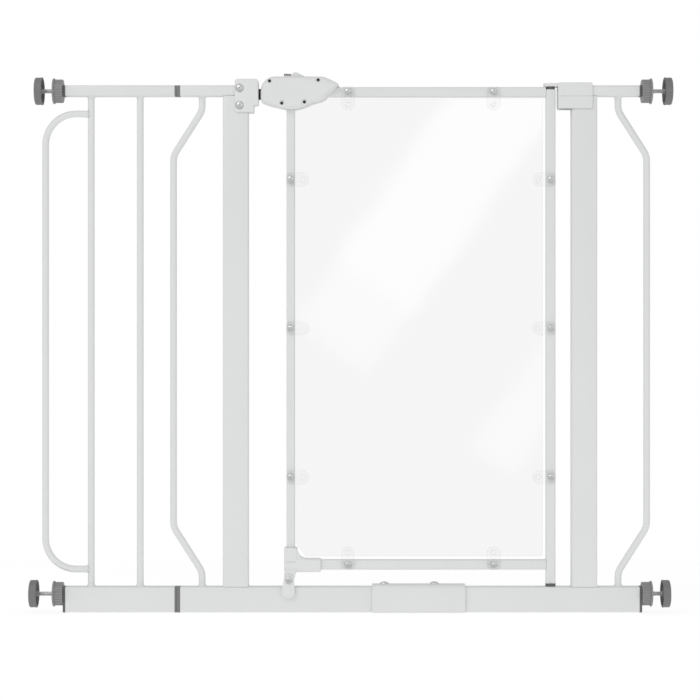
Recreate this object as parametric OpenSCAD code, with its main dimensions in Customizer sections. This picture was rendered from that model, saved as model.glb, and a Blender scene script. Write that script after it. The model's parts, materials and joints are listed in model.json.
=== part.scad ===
/* [Overall] */
// Height of the gate from the floor to the top of the upper arms
gate_h = 736.5; // [600:0.5:1000]
// Clear width of the walkway between the two posts
opening_w = 451; // [400:1:700]
// Width of the add-on extension, from its outer end to the joint
ext_w = 156.5; // [130:0.5:220]
// From the extension joint to the middle of the latch post
latch_side_w = 81.4; // [75:0.1:120]
// From the middle of the hinge post to the frame's end
hinge_side_w = 76.9; // [62:0.1:120]

/* [Frame tubes] */
// Height of the base rail
rail_h = 36; // [32:0.5:50]
// Width of each post, seen from the front
post_w = 36; // [28:0.5:50]
// Depth of the frame tubes, front to back
tube_d = 20; // [17:0.5:22]
// Height of the upper arms
arm_h = 15; // [13:0.5:20]
// Corner radius of the frame tubes
tube_r = 3; // [2:0.5:4]
// Wall thickness of the frame tubes
tube_wall = 1.5; // [1:0.1:2]

/* [Bars] */
// Diameter of the bars
bar_d = 9.5; // [7:0.5:12]
// How far the bowed bars stand out from their feet
bow_out = 40; // [30:1:60]
// Slope of the bowed bars' slanted parts, from upright
bow_angle = 32.5; // [25:0.5:45]
// Straight length of a bowed bar before its first bend
bow_knee = 20; // [16:1:40]
// Centre-line radius of the bowed bars' bends
bow_bend_r = 26; // [16:1:34]
// From the latch post's middle to the bowed bar's foot
latch_bow_foot = 47.5; // [35:0.5:60]
// From the hinge post's middle to the bowed bar's foot
hinge_bow_foot = 48; // [35:0.5:60]
// From the extension's outer end to its outer bar
ext_outer_bar_in = 35.2; // [25:0.1:50]
// From one extension bar to the other
ext_bar_pitch = 68.6; // [50:0.1:80]
// From the outer bar to the upright of the D-shaped bar
d_bar_out = 63.8; // [50:0.1:80]
// Drop of the D-shaped bar's upper leg below the top of the gate
d_bar_drop = 39.5; // [30:0.5:80]
// Height of the D-shaped bar's lower leg above the floor
d_bar_rise = 60; // [55:1:110]
// Centre-line radius of the D-shaped bar's bends
d_bar_r = 43; // [25:1:50]

/* [Joiners and coupler] */
// Width of the dark band that shows at each extension joint
band_w = 7.8; // [4:0.1:12]
// How far each joiner reaches into the tube on either side
joiner_reach = 30; // [15:1:40]
// Length of the base rail coupler
coupler_l = 130; // [80:1:180]
// From the latch post's middle to the middle of the coupler
coupler_at = 255.6; // [200:0.1:300]
// Sheet thickness of the coupler
coupler_t = 3; // [1.5:0.1:4]
// Place of the coupler's first screw, from its left end
coupler_screw_a = 17; // [12:1:40]
// Place of the coupler's second screw, from its left end
coupler_screw_b = 87; // [60:1:110]

/* [Spindles] */
// Diameter of the threaded rods
rod_d = 6.35; // [5:0.05:8]
// Length of the threaded rods
rod_l = 84; // [76:1:88]
// Diameter of the wall pads, over the lip
pad_d = 39; // [32:0.5:39]
// Thickness of the wall pads
pad_t = 10.5; // [8:0.5:12]
// Diameter of the adjusting wheels, over the lip
wheel_d = 36; // [30:0.5:38]
// Diameter of the adjusting wheels, over the ribs
wheel_body_d = 32.8; // [26:0.2:33]
// Thickness of the adjusting wheels
wheel_t = 14.2; // [10:0.2:15]
// Thickness of the end caps that show outside the tubes
cap_t = 3.5; // [2:0.1:4]
// Height of the lower rods above the floor
lower_rod_z = 25.5; // [20:0.5:28]
// Wall pad face to tube end, upper left
reach_ul = 43; // [42:0.1:60]
// Wall pad face to tube end, lower left
reach_ll = 50.6; // [42:0.1:60]
// Wall pad face to tube end, upper right
reach_ur = 46; // [42:0.1:60]
// Wall pad face to tube end, lower right
reach_lr = 43.1; // [42:0.1:60]

/* [Door] */
// Width of the latch stile
latch_stile_w = 12; // [10:0.5:16]
// Width of the hinge stile
hinge_stile_w = 13.5; // [11:0.5:14]
// Height of the door's rails
door_rail_h = 14; // [11:0.5:18]
// Depth of the door's tubes
door_d = 12; // [10:0.5:14]
// Wall thickness of the door's tubes
door_wall = 1.2; // [1:0.1:1.6]
// From the latch post's side to the middle of the latch stile
latch_gap = 58.8; // [57:0.1:75]
// From the hinge post's side to the hinge axis
hinge_gap = 28.7; // [25:0.1:40]
// Drop of the door's top below the top of the gate
door_drop = 2; // [2:0.1:10]
// Rise of the door's bottom rail above the base rail
door_rise = 23.5; // [23:0.5:60]

/* [Panel and clips] */
// Thickness of the clear panel
panel_t = 3; // [2:0.5:4]
// Gap from the panel to the latch stile
panel_gap_latch = 1.2; // [0.5:0.1:4]
// Gap from the panel to the hinge stile
panel_gap_hinge = 4.5; // [1:0.1:5]
// Gap from the panel to the top rail
panel_gap_top = 2.6; // [1:0.1:5]
// Gap from the panel to the bottom rail
panel_gap_bottom = 5; // [1:0.1:5]
// Width of a clip
clip_w = 20; // [16:0.5:24]
// Thickness of a clip
clip_t = 3.5; // [2.5:0.1:4]
// From a clip's screw to the stud that goes through the panel
clip_stud_at = 17.5; // [16.5:0.5:20]
// Diameter of that stud
clip_stud_d = 6; // [4:0.5:7]

// Height between the clips on each stile
clip_pitch_z = 208; // [150:1:250]
// Distance between the clips on each rail
clip_pitch_x = 203.6; // [150:0.1:260]

/* [Keeper, bracket and elbow] */
// Wall thickness of the keeper and the hinge bracket
casing_t = 3; // [2:0.1:4]
// How far the keeper laps over the latch post
keeper_lap = 19.4; // [16:0.1:24]
// How far the keeper stands out from the latch post
keeper_out = 13.7; // [12:0.1:16]
// Rise of the keeper above the top of the gate
keeper_rise = 8.5; // [5:0.5:12]
// How far the keeper reaches down the latch post
keeper_skirt = 22.9; // [20:0.1:30]
// How far the hinge bracket stands out from the hinge post
bracket_out = 18.9; // [17:0.1:19]
// How far the hinge bracket laps over the hinge post
bracket_lap = 29.1; // [20:0.1:34]
// How far the hinge bracket reaches down the hinge post
bracket_skirt = 17.7; // [10:0.1:30]
// Diameter of the hinge pins
pin_d = 7; // [5:0.2:7]
// Wall thickness of the corner elbow
elbow_wall = 3.2; // [2.4:0.1:4]
// Length of the elbow's arm, from the middle of the latch stile
elbow_arm = 42; // [30:0.5:60]
// Rise of the elbow's collar above the bottom rail
elbow_collar = 17; // [10:0.5:30]
// Thickness of the swing stop
stop_t = 5; // [3:0.5:5]
// Reach of the swing stop below its pivot
stop_drop = 16; // [12:0.5:18]

/* [Handle] */
// Depth of each half of the handle
handle_half_d = 18; // [15:0.5:19]
// Wall thickness of the handle's shells
handle_wall = 2.2; // [1.6:0.1:2.6]
// Height of the latch tongue
tongue_h = 14.7; // [10:0.1:15]
// Thickness of the latch tongue, front to back
tongue_t = 9; // [6:0.5:10]
// How far the tongue goes into the keeper
latch_throw = 6; // [4:0.5:7]
// How far the tongue draws back from the keeper's mouth
latch_draw = 3.5; // [3:0.1:4]

/* [Fits] */
// Radial running clearance of rods, pins and pivots
run_clear = 0.06; // [0.02:0.01:0.1]
// Gap between plain faces that slide past each other
slide_gap = 0.3; // [0.2:0.05:0.5]
// Gap between pieces that are fitted together and don't move
fit_gap = 0.1; // [0.05:0.05:0.2]

/* [Hidden] */
$fn = 64;
POWDER = [0.87, 0.88, 0.87];
PLASTIC = [0.9, 0.91, 0.9];
RUBBER = [0.5, 0.5, 0.5];
DARK = [0.22, 0.23, 0.22];
BLACK = [0.05, 0.05, 0.05];
ZINC = [0.72, 0.72, 0.74];
CLEAR = [0.9, 0.93, 0.95, 0.4];
through = 1; // how far a cutting shape runs past the face that it cuts

// Places along the gate's length, with the wall pads' faces the same distance from x = 0
tube_run = ext_w + latch_side_w + post_w + opening_w + hinge_side_w;
left_end = -(tube_run + max(reach_ul, reach_ll) + max(reach_ur, reach_lr)) / 2 + max(reach_ul, reach_ll);
right_end = left_end + tube_run;
joint_x = left_end + ext_w;
latch_post_x = joint_x + latch_side_w;
hinge_post_x = latch_post_x + post_w + opening_w;
post_face_l = latch_post_x + post_w / 2;
post_face_r = hinge_post_x - post_w / 2;
latch_stile_x = post_face_l + latch_gap;
hinge_x = post_face_r - hinge_gap;
coupler_x = latch_post_x + coupler_at;

// Heights
arm_z = gate_h - arm_h / 2;
arm_under = gate_h - arm_h;
door_top = gate_h - door_drop;
top_rail_z = door_top - door_rail_h / 2;
bottom_rail_z = rail_h + door_rise + door_rail_h / 2;
door_front = -door_d / 2;
frame_front = -tube_d / 2;

hinge_stile_top = door_top - 3.5;
keeper_face = post_face_l + keeper_out;
tongue_z = gate_h - 12;
stop_x = latch_stile_x - 2.4;
stop_z = rail_h + 10;
elbow_fillet = 12;
elbow_inner_x = latch_stile_x + latch_stile_w / 2 + elbow_wall;
elbow_top = rail_h + door_rise + door_rail_h + elbow_collar;
elbow_panel_cut = 7.5; // how far above the elbow the panel's cut-off corner starts

// Screws: head diameter, head height, shank diameter
CLIP_SCREW = [9, 2.6, 4];
KEEPER_SCREW = [10, 2.5, 4];
COUPLER_SCREW = [12, 3.4, 5];
STOP_SCREW = [10, 3, 5];

// ---------- shared shapes ----------

module rounded_rect(w, h, r) {
    square([w - 2 * r, h], center = true);
    square([w, h - 2 * r], center = true);
    for (x = [-1, 1], y = [-1, 1]) translate([x * (w / 2 - r), y * (h / 2 - r)]) circle(r);
}

// A block between two opposite corners
module block(a, b) {
    translate(a) cube(b - a);
}

// A bar of rounded section along X, from x0 to x1, h tall and d deep
module solid_x(x0, x1, z, h, d, r) {
    translate([x0, 0, z]) rotate([90, 0, 90]) linear_extrude(x1 - x0) rounded_rect(d, h, r);
}

// The same along Z, w wide and d deep
module solid_z(z0, z1, x, w, d, r) {
    translate([x, 0, z0]) linear_extrude(z1 - z0) rounded_rect(w, d, r);
}

// A flat piece that faces the front, from y0 to y1, with rounded corners
module plate_y(x0, x1, z0, z1, y0, y1, r) {
    translate([(x0 + x1) / 2, y1, (z0 + z1) / 2]) rotate([90, 0, 0])
        linear_extrude(y1 - y0) rounded_rect(x1 - x0, z1 - z0, r);
}

// A shut end is welded over, and an open end takes a plug
SHUT = true;
OPEN = false;
function inner_r(r, wall) = max(r - wall, 0.4);

module tube_x(x0, x1, z, h, d, r, wall, end0 = OPEN, end1 = OPEN) {
    difference() {
        solid_x(x0, x1, z, h, d, r);
        solid_x(end0 ? x0 + wall : x0 - through, end1 ? x1 - wall : x1 + through, z,
                h - 2 * wall, d - 2 * wall, inner_r(r, wall));
    }
}

module tube_z(z0, z1, x, w, d, r, wall) {
    difference() {
        solid_z(z0, z1, x, w, d, r);
        solid_z(z0 - through, z1 + through, x, w - 2 * wall, d - 2 * wall, inner_r(r, wall));
    }
}

// A round hole or pin along Y, from y0 to y1
module rod_y(x, z, y0, y1, d) {
    translate([x, y1, z]) rotate([90, 0, 0]) cylinder(h = y1 - y0, d = d);
}

// A round hole or pin along Z, from z0 to z1
module rod_z(x, z0, z1, d) {
    translate([x, 0, z0]) cylinder(h = z1 - z0, d = d);
}

// A pan-head screw that bears on a front face at y; s is [head d, head h, shank d]
module screw_y(x, z, y, s, length) {
    rod_y(x, z, y - s[1], y, s[0]);
    rod_y(x, z, y - s[1] / 2, y + length, s[2]);
}

// The hole for such a screw's shank in a tube whose front face is at y
module screw_hole_y(x, z, y, s, wall) {
    rod_y(x, z, y - through, y + wall + through, s[2] + 2 * fit_gap);
}

// A round bar through the points of a path in the XZ plane, with one bend radius
function turn(a, b, c) = let (u = b - a, v = c - b) atan2(u[0] * v[1] - u[1] * v[0], u * v);
function setback(a, b, c, r) = r * tan(abs(turn(a, b, c)) / 2);
bend_swell = 0.2; // a bend is a little thicker than the straight lengths that end inside it
bend_lap = 0.5;
module bar_path(points, d, r) {
    last = len(points) - 1;
    for (i = [0 : last - 1]) {
        run = points[i + 1] - points[i];
        dir = run / norm(run);
        from = i == 0 ? 0 : setback(points[i - 1], points[i], points[i + 1], r) - bend_lap;
        to = i == last - 1 ? 0 : setback(points[i], points[i + 1], points[i + 2], r) - bend_lap;
        start = points[i] + dir * from;
        translate([start[0], 0, start[1]])
            rotate([0, atan2(dir[0], dir[1]), 0]) cylinder(h = norm(run) - from - to, d = d);
    }
    for (i = [1 : last - 1]) {
        a = turn(points[i - 1], points[i], points[i + 1]);
        run = points[i] - points[i - 1];
        dir = run / norm(run);
        side = a > 0 ? [-dir[1], dir[0]] : [dir[1], -dir[0]];
        centre = points[i] - dir * setback(points[i - 1], points[i], points[i + 1], r) + side * r;
        first = atan2(-side[1], -side[0]);
        translate([centre[0], 0, centre[1]])
            rotate([90, 0, 0])
                rotate([0, 0, a > 0 ? first : first + a])
                    rotate_extrude(angle = abs(a)) translate([r, 0]) circle(d = d + bend_swell);
    }
}

// ---------- frame: tubes and bars ----------

// Upper and lower tubes of the frame share these two sections
module arm(x0, x1, end0 = OPEN, end1 = OPEN) {
    tube_x(x0, x1, arm_z, arm_h, tube_d, tube_r, tube_wall, end0, end1);
}
module rail(x0, x1) {
    tube_x(x0, x1, rail_h / 2, rail_h, tube_d, tube_r, tube_wall);
}
module post(x) {
    tube_z(rail_h, arm_under, x, post_w, tube_d, tube_r, tube_wall);
}

coupler_left = coupler_x - coupler_l / 2;
module coupler_screw_hole(at) {
    rod_z(coupler_left + at, rail_h / 2, gate_h, COUPLER_SCREW[2] + 2 * fit_gap);
}

module base_rail_left() {
    color(POWDER) difference() {
        rail(joint_x + band_w / 2, coupler_x);
        coupler_screw_hole(coupler_screw_a);
    }
}

module base_rail_right() {
    color(POWDER) difference() {
        rail(coupler_x, right_end);
        coupler_screw_hole(coupler_screw_b);
        rod_z(hinge_x, rail_h - tube_wall - through, rail_h + through, pin_d + 2 * fit_gap);
    }
}

module latch_post() {
    color(POWDER) difference() {
        post(latch_post_x);
        screw_hole_y(keeper_screw_x, keeper_screw_z[0], frame_front, KEEPER_SCREW, tube_wall);
    }
}

module hinge_post() {
    color(POWDER) post(hinge_post_x);
}

module latch_side_top_arm() {
    color(POWDER) difference() {
        arm(joint_x + band_w / 2, post_face_l, OPEN, SHUT);
        screw_hole_y(keeper_screw_x, keeper_screw_z[1], frame_front, KEEPER_SCREW, tube_wall);
    }
}

module hinge_side_top_arm() {
    color(POWDER) arm(post_face_r, right_end, SHUT, OPEN);
}

module extension_top_tube() {
    color(POWDER) arm(left_end, joint_x - band_w / 2);
}

module extension_base_tube() {
    color(POWDER) rail(left_end, joint_x - band_w / 2);
}

// A bowed bar from the arm down to the base rail; out is -1 or 1, the side that it bows to
module bowed_bar(foot_x, out) {
    slant = bow_out / tan(bow_angle);
    top_knee = arm_under - bow_knee;
    low_knee = rail_h + bow_knee;
    bowed_x = foot_x + out * bow_out;
    bar_path([[foot_x, arm_under], [foot_x, top_knee], [bowed_x, top_knee - slant],
              [bowed_x, low_knee + slant], [foot_x, low_knee], [foot_x, rail_h]],
             bar_d, bow_bend_r);
}

module latch_side_bowed_bar() {
    color(POWDER) bowed_bar(latch_post_x - latch_bow_foot, -1);
}

module hinge_side_bowed_bar() {
    color(POWDER) bowed_bar(hinge_post_x + hinge_bow_foot, 1);
}

ext_outer_bar_x = left_end + ext_outer_bar_in;
module extension_outer_bar() {
    color(POWDER) rod_z(ext_outer_bar_x, rail_h, arm_under, bar_d);
}

module extension_inner_bar() {
    color(POWDER) rod_z(ext_outer_bar_x + ext_bar_pitch, rail_h, arm_under, bar_d);
}

// The D-shaped bar is welded to the outer bar at both of its ends
module extension_d_bar() {
    upper = gate_h - d_bar_drop;
    upright_x = ext_outer_bar_x - d_bar_out;
    color(POWDER) difference() {
        bar_path([[ext_outer_bar_x, upper], [upright_x, upper],
                  [upright_x, d_bar_rise], [ext_outer_bar_x, d_bar_rise]], bar_d, d_bar_r);
        rod_z(ext_outer_bar_x, rail_h, arm_under, bar_d);
    }
}

// A plug inside the two tubes at an extension joint, and the band that shows between them
module joiner(z, h) {
    half = band_w / 2;
    inside = tube_wall + fit_gap;
    solid_x(joint_x - half, joint_x + half, z, h, tube_d, tube_r);
    solid_x(joint_x - half - joiner_reach, joint_x + half + joiner_reach, z,
            h - 2 * inside, tube_d - 2 * inside, inner_r(tube_r, inside));
}

module top_joiner() {
    color(DARK) joiner(arm_z, arm_h);
}

module base_joiner() {
    color(DARK) joiner(rail_h / 2, rail_h);
}

// Cross-section of an upside-down U with rounded upper corners, standing on y = 0
module arch(w, h, r, below) {
    translate([-w / 2, -below]) square([w, h - r + below]);
    translate([-w / 2 + r, -below]) square([w - 2 * r, h + below]);
    for (x = [-1, 1]) translate([x * (w / 2 - r), h - r]) circle(r);
}

module base_coupler() {
    inner_w = tube_d + 2 * fit_gap;
    inner_h = rail_h + fit_gap;
    color(POWDER) difference() {
        translate([coupler_left, 0, 0]) rotate([90, 0, 90]) linear_extrude(coupler_l) difference() {
            arch(inner_w + 2 * coupler_t, inner_h + coupler_t, tube_r + coupler_t, 0);
            arch(inner_w, inner_h, tube_r, through);
        }
        coupler_screw_hole(coupler_screw_a);
        coupler_screw_hole(coupler_screw_b);
    }
}

module coupler_screws() {
    coupler_top = rail_h + fit_gap + coupler_t;
    shank_l = 12;
    color(ZINC) for (x = [coupler_left + coupler_screw_a, coupler_left + coupler_screw_b]) {
        rod_z(x, coupler_top, coupler_top + COUPLER_SCREW[1], COUPLER_SCREW[0]);
        rod_z(x, coupler_top - shank_l, coupler_top + through, COUPLER_SCREW[2]);
    }
}

// ---------- frame: end caps, wheels and spindles ----------

// Sides of the gate: -1 is the extension's end and 1 is the hinge end
function end_x(side) = side < 0 ? left_end : right_end;

// Puts its children at a tube's end with their z axis pointing outwards
module at_end(side, z) {
    translate([end_x(side), 0, z]) rotate([0, side * 90, 0]) children();
}

// Closes a tube h tall that is centred at z, and guides the rod at height rod
module end_cap(side, z, h, rod) {
    plug_l = 12;
    inside = tube_wall + fit_gap;
    x = end_x(side);
    face = x + side * cap_t;
    plug = x - side * plug_l;
    color(DARK) difference() {
        union() {
            solid_x(min(x, face), max(x, face), z, h, tube_d, tube_r);
            solid_x(min(face, plug), max(face, plug), z,
                    h - 2 * inside, tube_d - 2 * inside, inner_r(tube_r, inside));
        }
        at_end(side, rod) translate([0, 0, -plug_l - through])
            cylinder(h = plug_l + cap_t + 2 * through, r = rod_d / 2 + run_clear);
    }
}

// The knob is also the nut, with a lip round its outer face and a shallow dish inside that
module wheel(side, z) {
    bore_r = rod_d / 2 + run_clear;
    lip_t = 2.4;
    hub_r = 7.5;
    dish_r = wheel_body_d / 2 - 3;
    dish = 3;
    edge = 1;
    color(RUBBER) at_end(side, z) translate([0, 0, cap_t + slide_gap]) rotate_extrude()
        polygon([[bore_r, 0], [wheel_body_d / 2 - edge, 0], [wheel_body_d / 2, edge],
                 [wheel_body_d / 2, wheel_t - lip_t], [wheel_d / 2, wheel_t - lip_t],
                 [wheel_d / 2, wheel_t], [dish_r, wheel_t], [dish_r, wheel_t - dish],
                 [hub_r, wheel_t - dish], [hub_r, wheel_t], [bore_r, wheel_t]]);
}

// A shallow rubber cup, open towards the wheel, with the rod's end in its boss
pad_floor = 4;
rod_socket = 1.5;
module wall_pad(side, z, reach) {
    wall = 2.6;
    lip = 0.5;
    lip_t = 1.4;
    edge = 1;
    boss_r = 6;
    boss_drop = 2;
    body_r = pad_d / 2 - lip;
    color(RUBBER) at_end(side, z) translate([0, 0, reach - pad_t]) rotate_extrude()
        polygon([[rod_d / 2, boss_drop], [boss_r, boss_drop], [boss_r, pad_t - pad_floor],
                 [body_r - wall, pad_t - pad_floor], [body_r - wall, 0], [pad_d / 2, 0],
                 [pad_d / 2, lip_t], [body_r, lip_t], [body_r, pad_t - edge], [body_r - edge, pad_t],
                 [0, pad_t], [0, pad_t - pad_floor + rod_socket],
                 [rod_d / 2, pad_t - pad_floor + rod_socket]]);
}

module rod(side, z, reach) {
    color(ZINC) at_end(side, z) translate([0, 0, reach - pad_floor + rod_socket - rod_l])
        cylinder(h = rod_l, d = rod_d);
}

// ---------- frame: keeper and hinge bracket ----------

keeper_left = post_face_l - keeper_lap;
keeper_half_d = tube_d / 2 + fit_gap + casing_t;
keeper_screw_x = keeper_left + 7;
keeper_screw_z = [arm_under - 13.5, arm_z + 3];
pocket_gap = 0.8; // room round the tongue inside the keeper
pocket_end = 2.5; // room past its tip

module keeper() {
    corner = 4;
    step = 6.1;
    step_h = 10.4;
    top = gate_h + keeper_rise;
    low = arm_under - keeper_skirt;
    color(PLASTIC) difference() {
        plate_y(keeper_left, keeper_face, low, top, -keeper_half_d, keeper_half_d, corner);
        // the end of the arm and the head of the post
        block([keeper_left - through, -tube_d / 2 - fit_gap, low - through],
              [post_face_l + fit_gap, tube_d / 2 + fit_gap, gate_h + fit_gap]);
        // the narrower foot
        block([keeper_face - step, -keeper_half_d - through, low - through],
              [keeper_face + through, keeper_half_d + through, low + step_h]);
        // the pocket that the tongue runs into
        block([keeper_face - slide_gap - latch_throw - pocket_end, -tongue_t / 2 - pocket_gap,
               tongue_z - tongue_h / 2 - pocket_gap],
              [keeper_face + through, tongue_t / 2 + pocket_gap,
               tongue_z + tongue_h / 2 + pocket_gap]);
        for (z = keeper_screw_z)
            rod_y(keeper_screw_x, z, -keeper_half_d - through, 0, KEEPER_SCREW[2] + 2 * fit_gap);
    }
}

module keeper_screws() {
    color(ZINC) for (z = keeper_screw_z)
        screw_y(keeper_screw_x, z, -keeper_half_d, KEEPER_SCREW, casing_t + 6);
}

flange_r = 10;
flange_t = 4.5;
flange_z = door_top + 0.5;
bracket_left = post_face_r - bracket_out;

module hinge_bracket() {
    corner = 3;
    top = gate_h + 3.5;
    low = arm_under - bracket_skirt;
    right = post_face_r + bracket_lap;
    color(POWDER) difference() {
        union() {
            plate_y(bracket_left, right, low, top, -keeper_half_d, keeper_half_d, corner);
            rod_z(hinge_x, flange_z, flange_z + flange_t, 2 * flange_r);
            block([hinge_x, -flange_r, flange_z], [bracket_left + corner, flange_r, flange_z + flange_t]);
        }
        block([bracket_left + casing_t, -tube_d / 2 - fit_gap, low - through],
              [right + through, tube_d / 2 + fit_gap, gate_h + fit_gap]);
        rod_z(hinge_x, flange_z - through, flange_z + flange_t + through, pin_d);
    }
}

stub_l = 30; // length of each hinge pin inside its bush
washer_t = 4;
hinge_stile_foot = rail_h + washer_t + slide_gap;

module upper_hinge_pin() {
    color(ZINC) rod_z(hinge_x, flange_z - stub_l, flange_z + flange_t, pin_d);
}

module lower_hinge_pin() {
    root = 6;
    color(ZINC) rod_z(hinge_x, rail_h - root, hinge_stile_foot + stub_l, pin_d);
}

module lower_hinge_washer() {
    washer_d = 14.5;
    color(DARK) difference() {
        rod_z(hinge_x, rail_h, rail_h + washer_t, washer_d);
        rod_z(hinge_x, rail_h - through, rail_h + washer_t + through, pin_d + 2 * fit_gap);
    }
}

// ---------- door: frame ----------

door_r = 2.5;
elbow_seat = 2.5; // plastic under the latch stile's foot
stile_foot = rail_h + door_rise + elbow_seat;
stile_face_l = latch_stile_x + latch_stile_w / 2;
stile_face_r = hinge_x - hinge_stile_w / 2;

// The four sides that carry clips: place of each clip's screw, and the turn that aims it inwards
clip_mid_z = (bottom_rail_z + top_rail_z) / 2;
clip_mid_x = (latch_stile_x + hinge_x) / 2;
STILE_CLIPS_Z = [for (i = [-1 : 1]) clip_mid_z + i * clip_pitch_z];
RAIL_CLIPS_X = [for (i = [-1, 1]) clip_mid_x + i * clip_pitch_x / 2];

module clip_places() {
    for (z = STILE_CLIPS_Z) {
        translate([latch_stile_x, 0, z]) children();
        translate([hinge_x, 0, z]) rotate([0, 180, 0]) children();
    }
    for (x = RAIL_CLIPS_X) {
        translate([x, 0, top_rail_z]) rotate([0, 90, 0]) children();
        translate([x, 0, bottom_rail_z]) rotate([0, -90, 0]) children();
    }
}

module clip_holes() {
    clip_places() screw_hole_y(0, 0, door_front, CLIP_SCREW, door_wall);
}

module latch_stile() {
    color(POWDER) difference() {
        tube_z(stile_foot, door_top - door_rail_h, latch_stile_x, latch_stile_w, door_d, door_r, door_wall);
        clip_holes();
    }
}

module hinge_stile() {
    color(POWDER) difference() {
        tube_z(hinge_stile_foot, hinge_stile_top, hinge_x, hinge_stile_w, door_d, door_r, door_wall);
        clip_holes();
    }
}

module door_top_rail() {
    color(POWDER) difference() {
        tube_x(latch_stile_x - latch_stile_w / 2, stile_face_r, top_rail_z,
               door_rail_h, door_d, door_r, door_wall, SHUT, SHUT);
        clip_holes();
    }
}

rail_root = stile_face_l + 2;
module door_bottom_rail() {
    color(POWDER) difference() {
        tube_x(rail_root, stile_face_r, bottom_rail_z,
               door_rail_h, door_d, door_r, door_wall, OPEN, SHUT);
        clip_holes();
    }
}

// A plastic liner inside one end of the hinge stile, which turns on a pin
module hinge_bush(z0, z1) {
    inside = door_wall + fit_gap;
    difference() {
        union() {
            solid_z(z0, z1, hinge_x, hinge_stile_w - 2 * inside, door_d - 2 * inside,
                    inner_r(door_r, inside));
            children();
        }
        rod_z(hinge_x, z0 - through, z1 + 2 * stub_l, pin_d + 2 * run_clear);
    }
}

module upper_hinge_bush() {
    cap_d = 12.5;
    color(DARK) hinge_bush(flange_z - stub_l - 2, hinge_stile_top)
        rod_z(hinge_x, hinge_stile_top, flange_z - slide_gap, cap_d);
}

module lower_hinge_bush() {
    color(DARK) hinge_bush(hinge_stile_foot, hinge_stile_foot + stub_l + 2);
}

// ---------- door: panel and clips ----------

panel_front = door_front + fit_gap;

module clear_panel() {
    corner = 3;
    handle_clear = 1;
    bottom = rail_h + door_rise + door_rail_h + panel_gap_bottom;
    color(CLEAR) difference() {
        plate_y(stile_face_l + panel_gap_latch, stile_face_r - panel_gap_hinge,
                bottom, door_top - door_rail_h - panel_gap_top,
                panel_front, panel_front + panel_t, corner);
        // one corner is cut back round the handle and the one below it is cut off beside the elbow
        translate([0, panel_front + panel_t + through, 0]) rotate([90, 0, 0])
            linear_extrude(panel_t + 2 * through) {
                handle_outline(-handle_clear);
                polygon([[elbow_inner_x + elbow_fillet, bottom],
                         [elbow_inner_x + elbow_fillet, bottom - through],
                         [stile_face_l, bottom - through],
                         [stile_face_l, elbow_top + elbow_panel_cut]]);
            }
        clip_places() rod_y(clip_stud_at, 0, panel_front - through, panel_front + panel_t + through,
                            clip_stud_d + 2 * fit_gap);
    }
}

// One clip: its screw is at the origin and its round end lies over the panel
module clip() {
    outer = 7;
    outer_r = 6;
    end_at = 16;
    barb = 0.5;
    barb_t = 1.2;
    back = panel_front + panel_t + fit_gap;
    difference() {
        union() {
            translate([0, door_front, 0]) rotate([90, 0, 0]) linear_extrude(clip_t) {
                translate([outer_r - outer, -clip_w / 2]) square([end_at + outer - outer_r, clip_w]);
                translate([-outer, outer_r - clip_w / 2]) square([outer, clip_w - 2 * outer_r]);
                translate([end_at, 0]) circle(clip_w / 2);
                for (z = [-1, 1])
                    translate([outer_r - outer, z * (clip_w / 2 - outer_r)]) circle(outer_r);
            }
            rod_y(clip_stud_at, 0, door_front - through, back + barb_t, clip_stud_d);
            rod_y(clip_stud_at, 0, back, back + barb_t, clip_stud_d + 2 * barb);
        }
        rod_y(0, 0, door_front - clip_t - through, 0, CLIP_SCREW[2] + 2 * fit_gap);
    }
}

module panel_clips() {
    color(CLEAR) clip_places() clip();
}

module clip_screws() {
    color(ZINC) clip_places() screw_y(0, 0, door_front - clip_t, CLIP_SCREW, clip_t + 5);
}

// ---------- door: corner elbow and swing stop ----------

stop_back = frame_front - 0.5;
lug_front = frame_front - 0.2;
lug_r = 7;

module corner_elbow() {
    half_w = latch_stile_w / 2 + elbow_wall;
    half_d = door_d / 2 + elbow_wall;
    corner = 3;
    low = rail_h + door_rise - elbow_wall;
    arm_top = rail_h + door_rise + door_rail_h + elbow_wall / 2;
    color(PLASTIC) difference() {
        union() {
            solid_z(low, elbow_top, latch_stile_x, 2 * half_w, 2 * half_d, corner);
            solid_x(latch_stile_x, latch_stile_x + elbow_arm, (low + arm_top) / 2,
                    arm_top - low, 2 * half_d, corner);
            difference() {
                block([elbow_inner_x - corner, -half_d + corner, arm_top - corner],
                      [elbow_inner_x + elbow_fillet, half_d - corner, arm_top + elbow_fillet]);
                rod_y(elbow_inner_x + elbow_fillet, arm_top + elbow_fillet, -half_d, half_d,
                      2 * elbow_fillet);
            }
            // the lug that carries the swing stop
            block([stop_x - lug_r, lug_front, stop_z], [stop_x + lug_r, half_d - corner, low + corner]);
            rod_y(stop_x, stop_z, lug_front, half_d - corner, 2 * lug_r);
        }
        solid_z(stile_foot, elbow_top + through, latch_stile_x, latch_stile_w + 2 * fit_gap,
                door_d + 2 * fit_gap, door_r + fit_gap);
        solid_x(rail_root, latch_stile_x + elbow_arm + through, bottom_rail_z,
                door_rail_h + 2 * fit_gap, door_d + 2 * fit_gap, door_r + fit_gap);
        rod_y(stop_x, stop_z, lug_front - through, half_d, STOP_SCREW[2] + 2 * fit_gap);
    }
}

module stop_screw() {
    color(ZINC) screw_y(stop_x, stop_z, stop_back - stop_t - slide_gap, STOP_SCREW, stop_t + 12);
}

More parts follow.
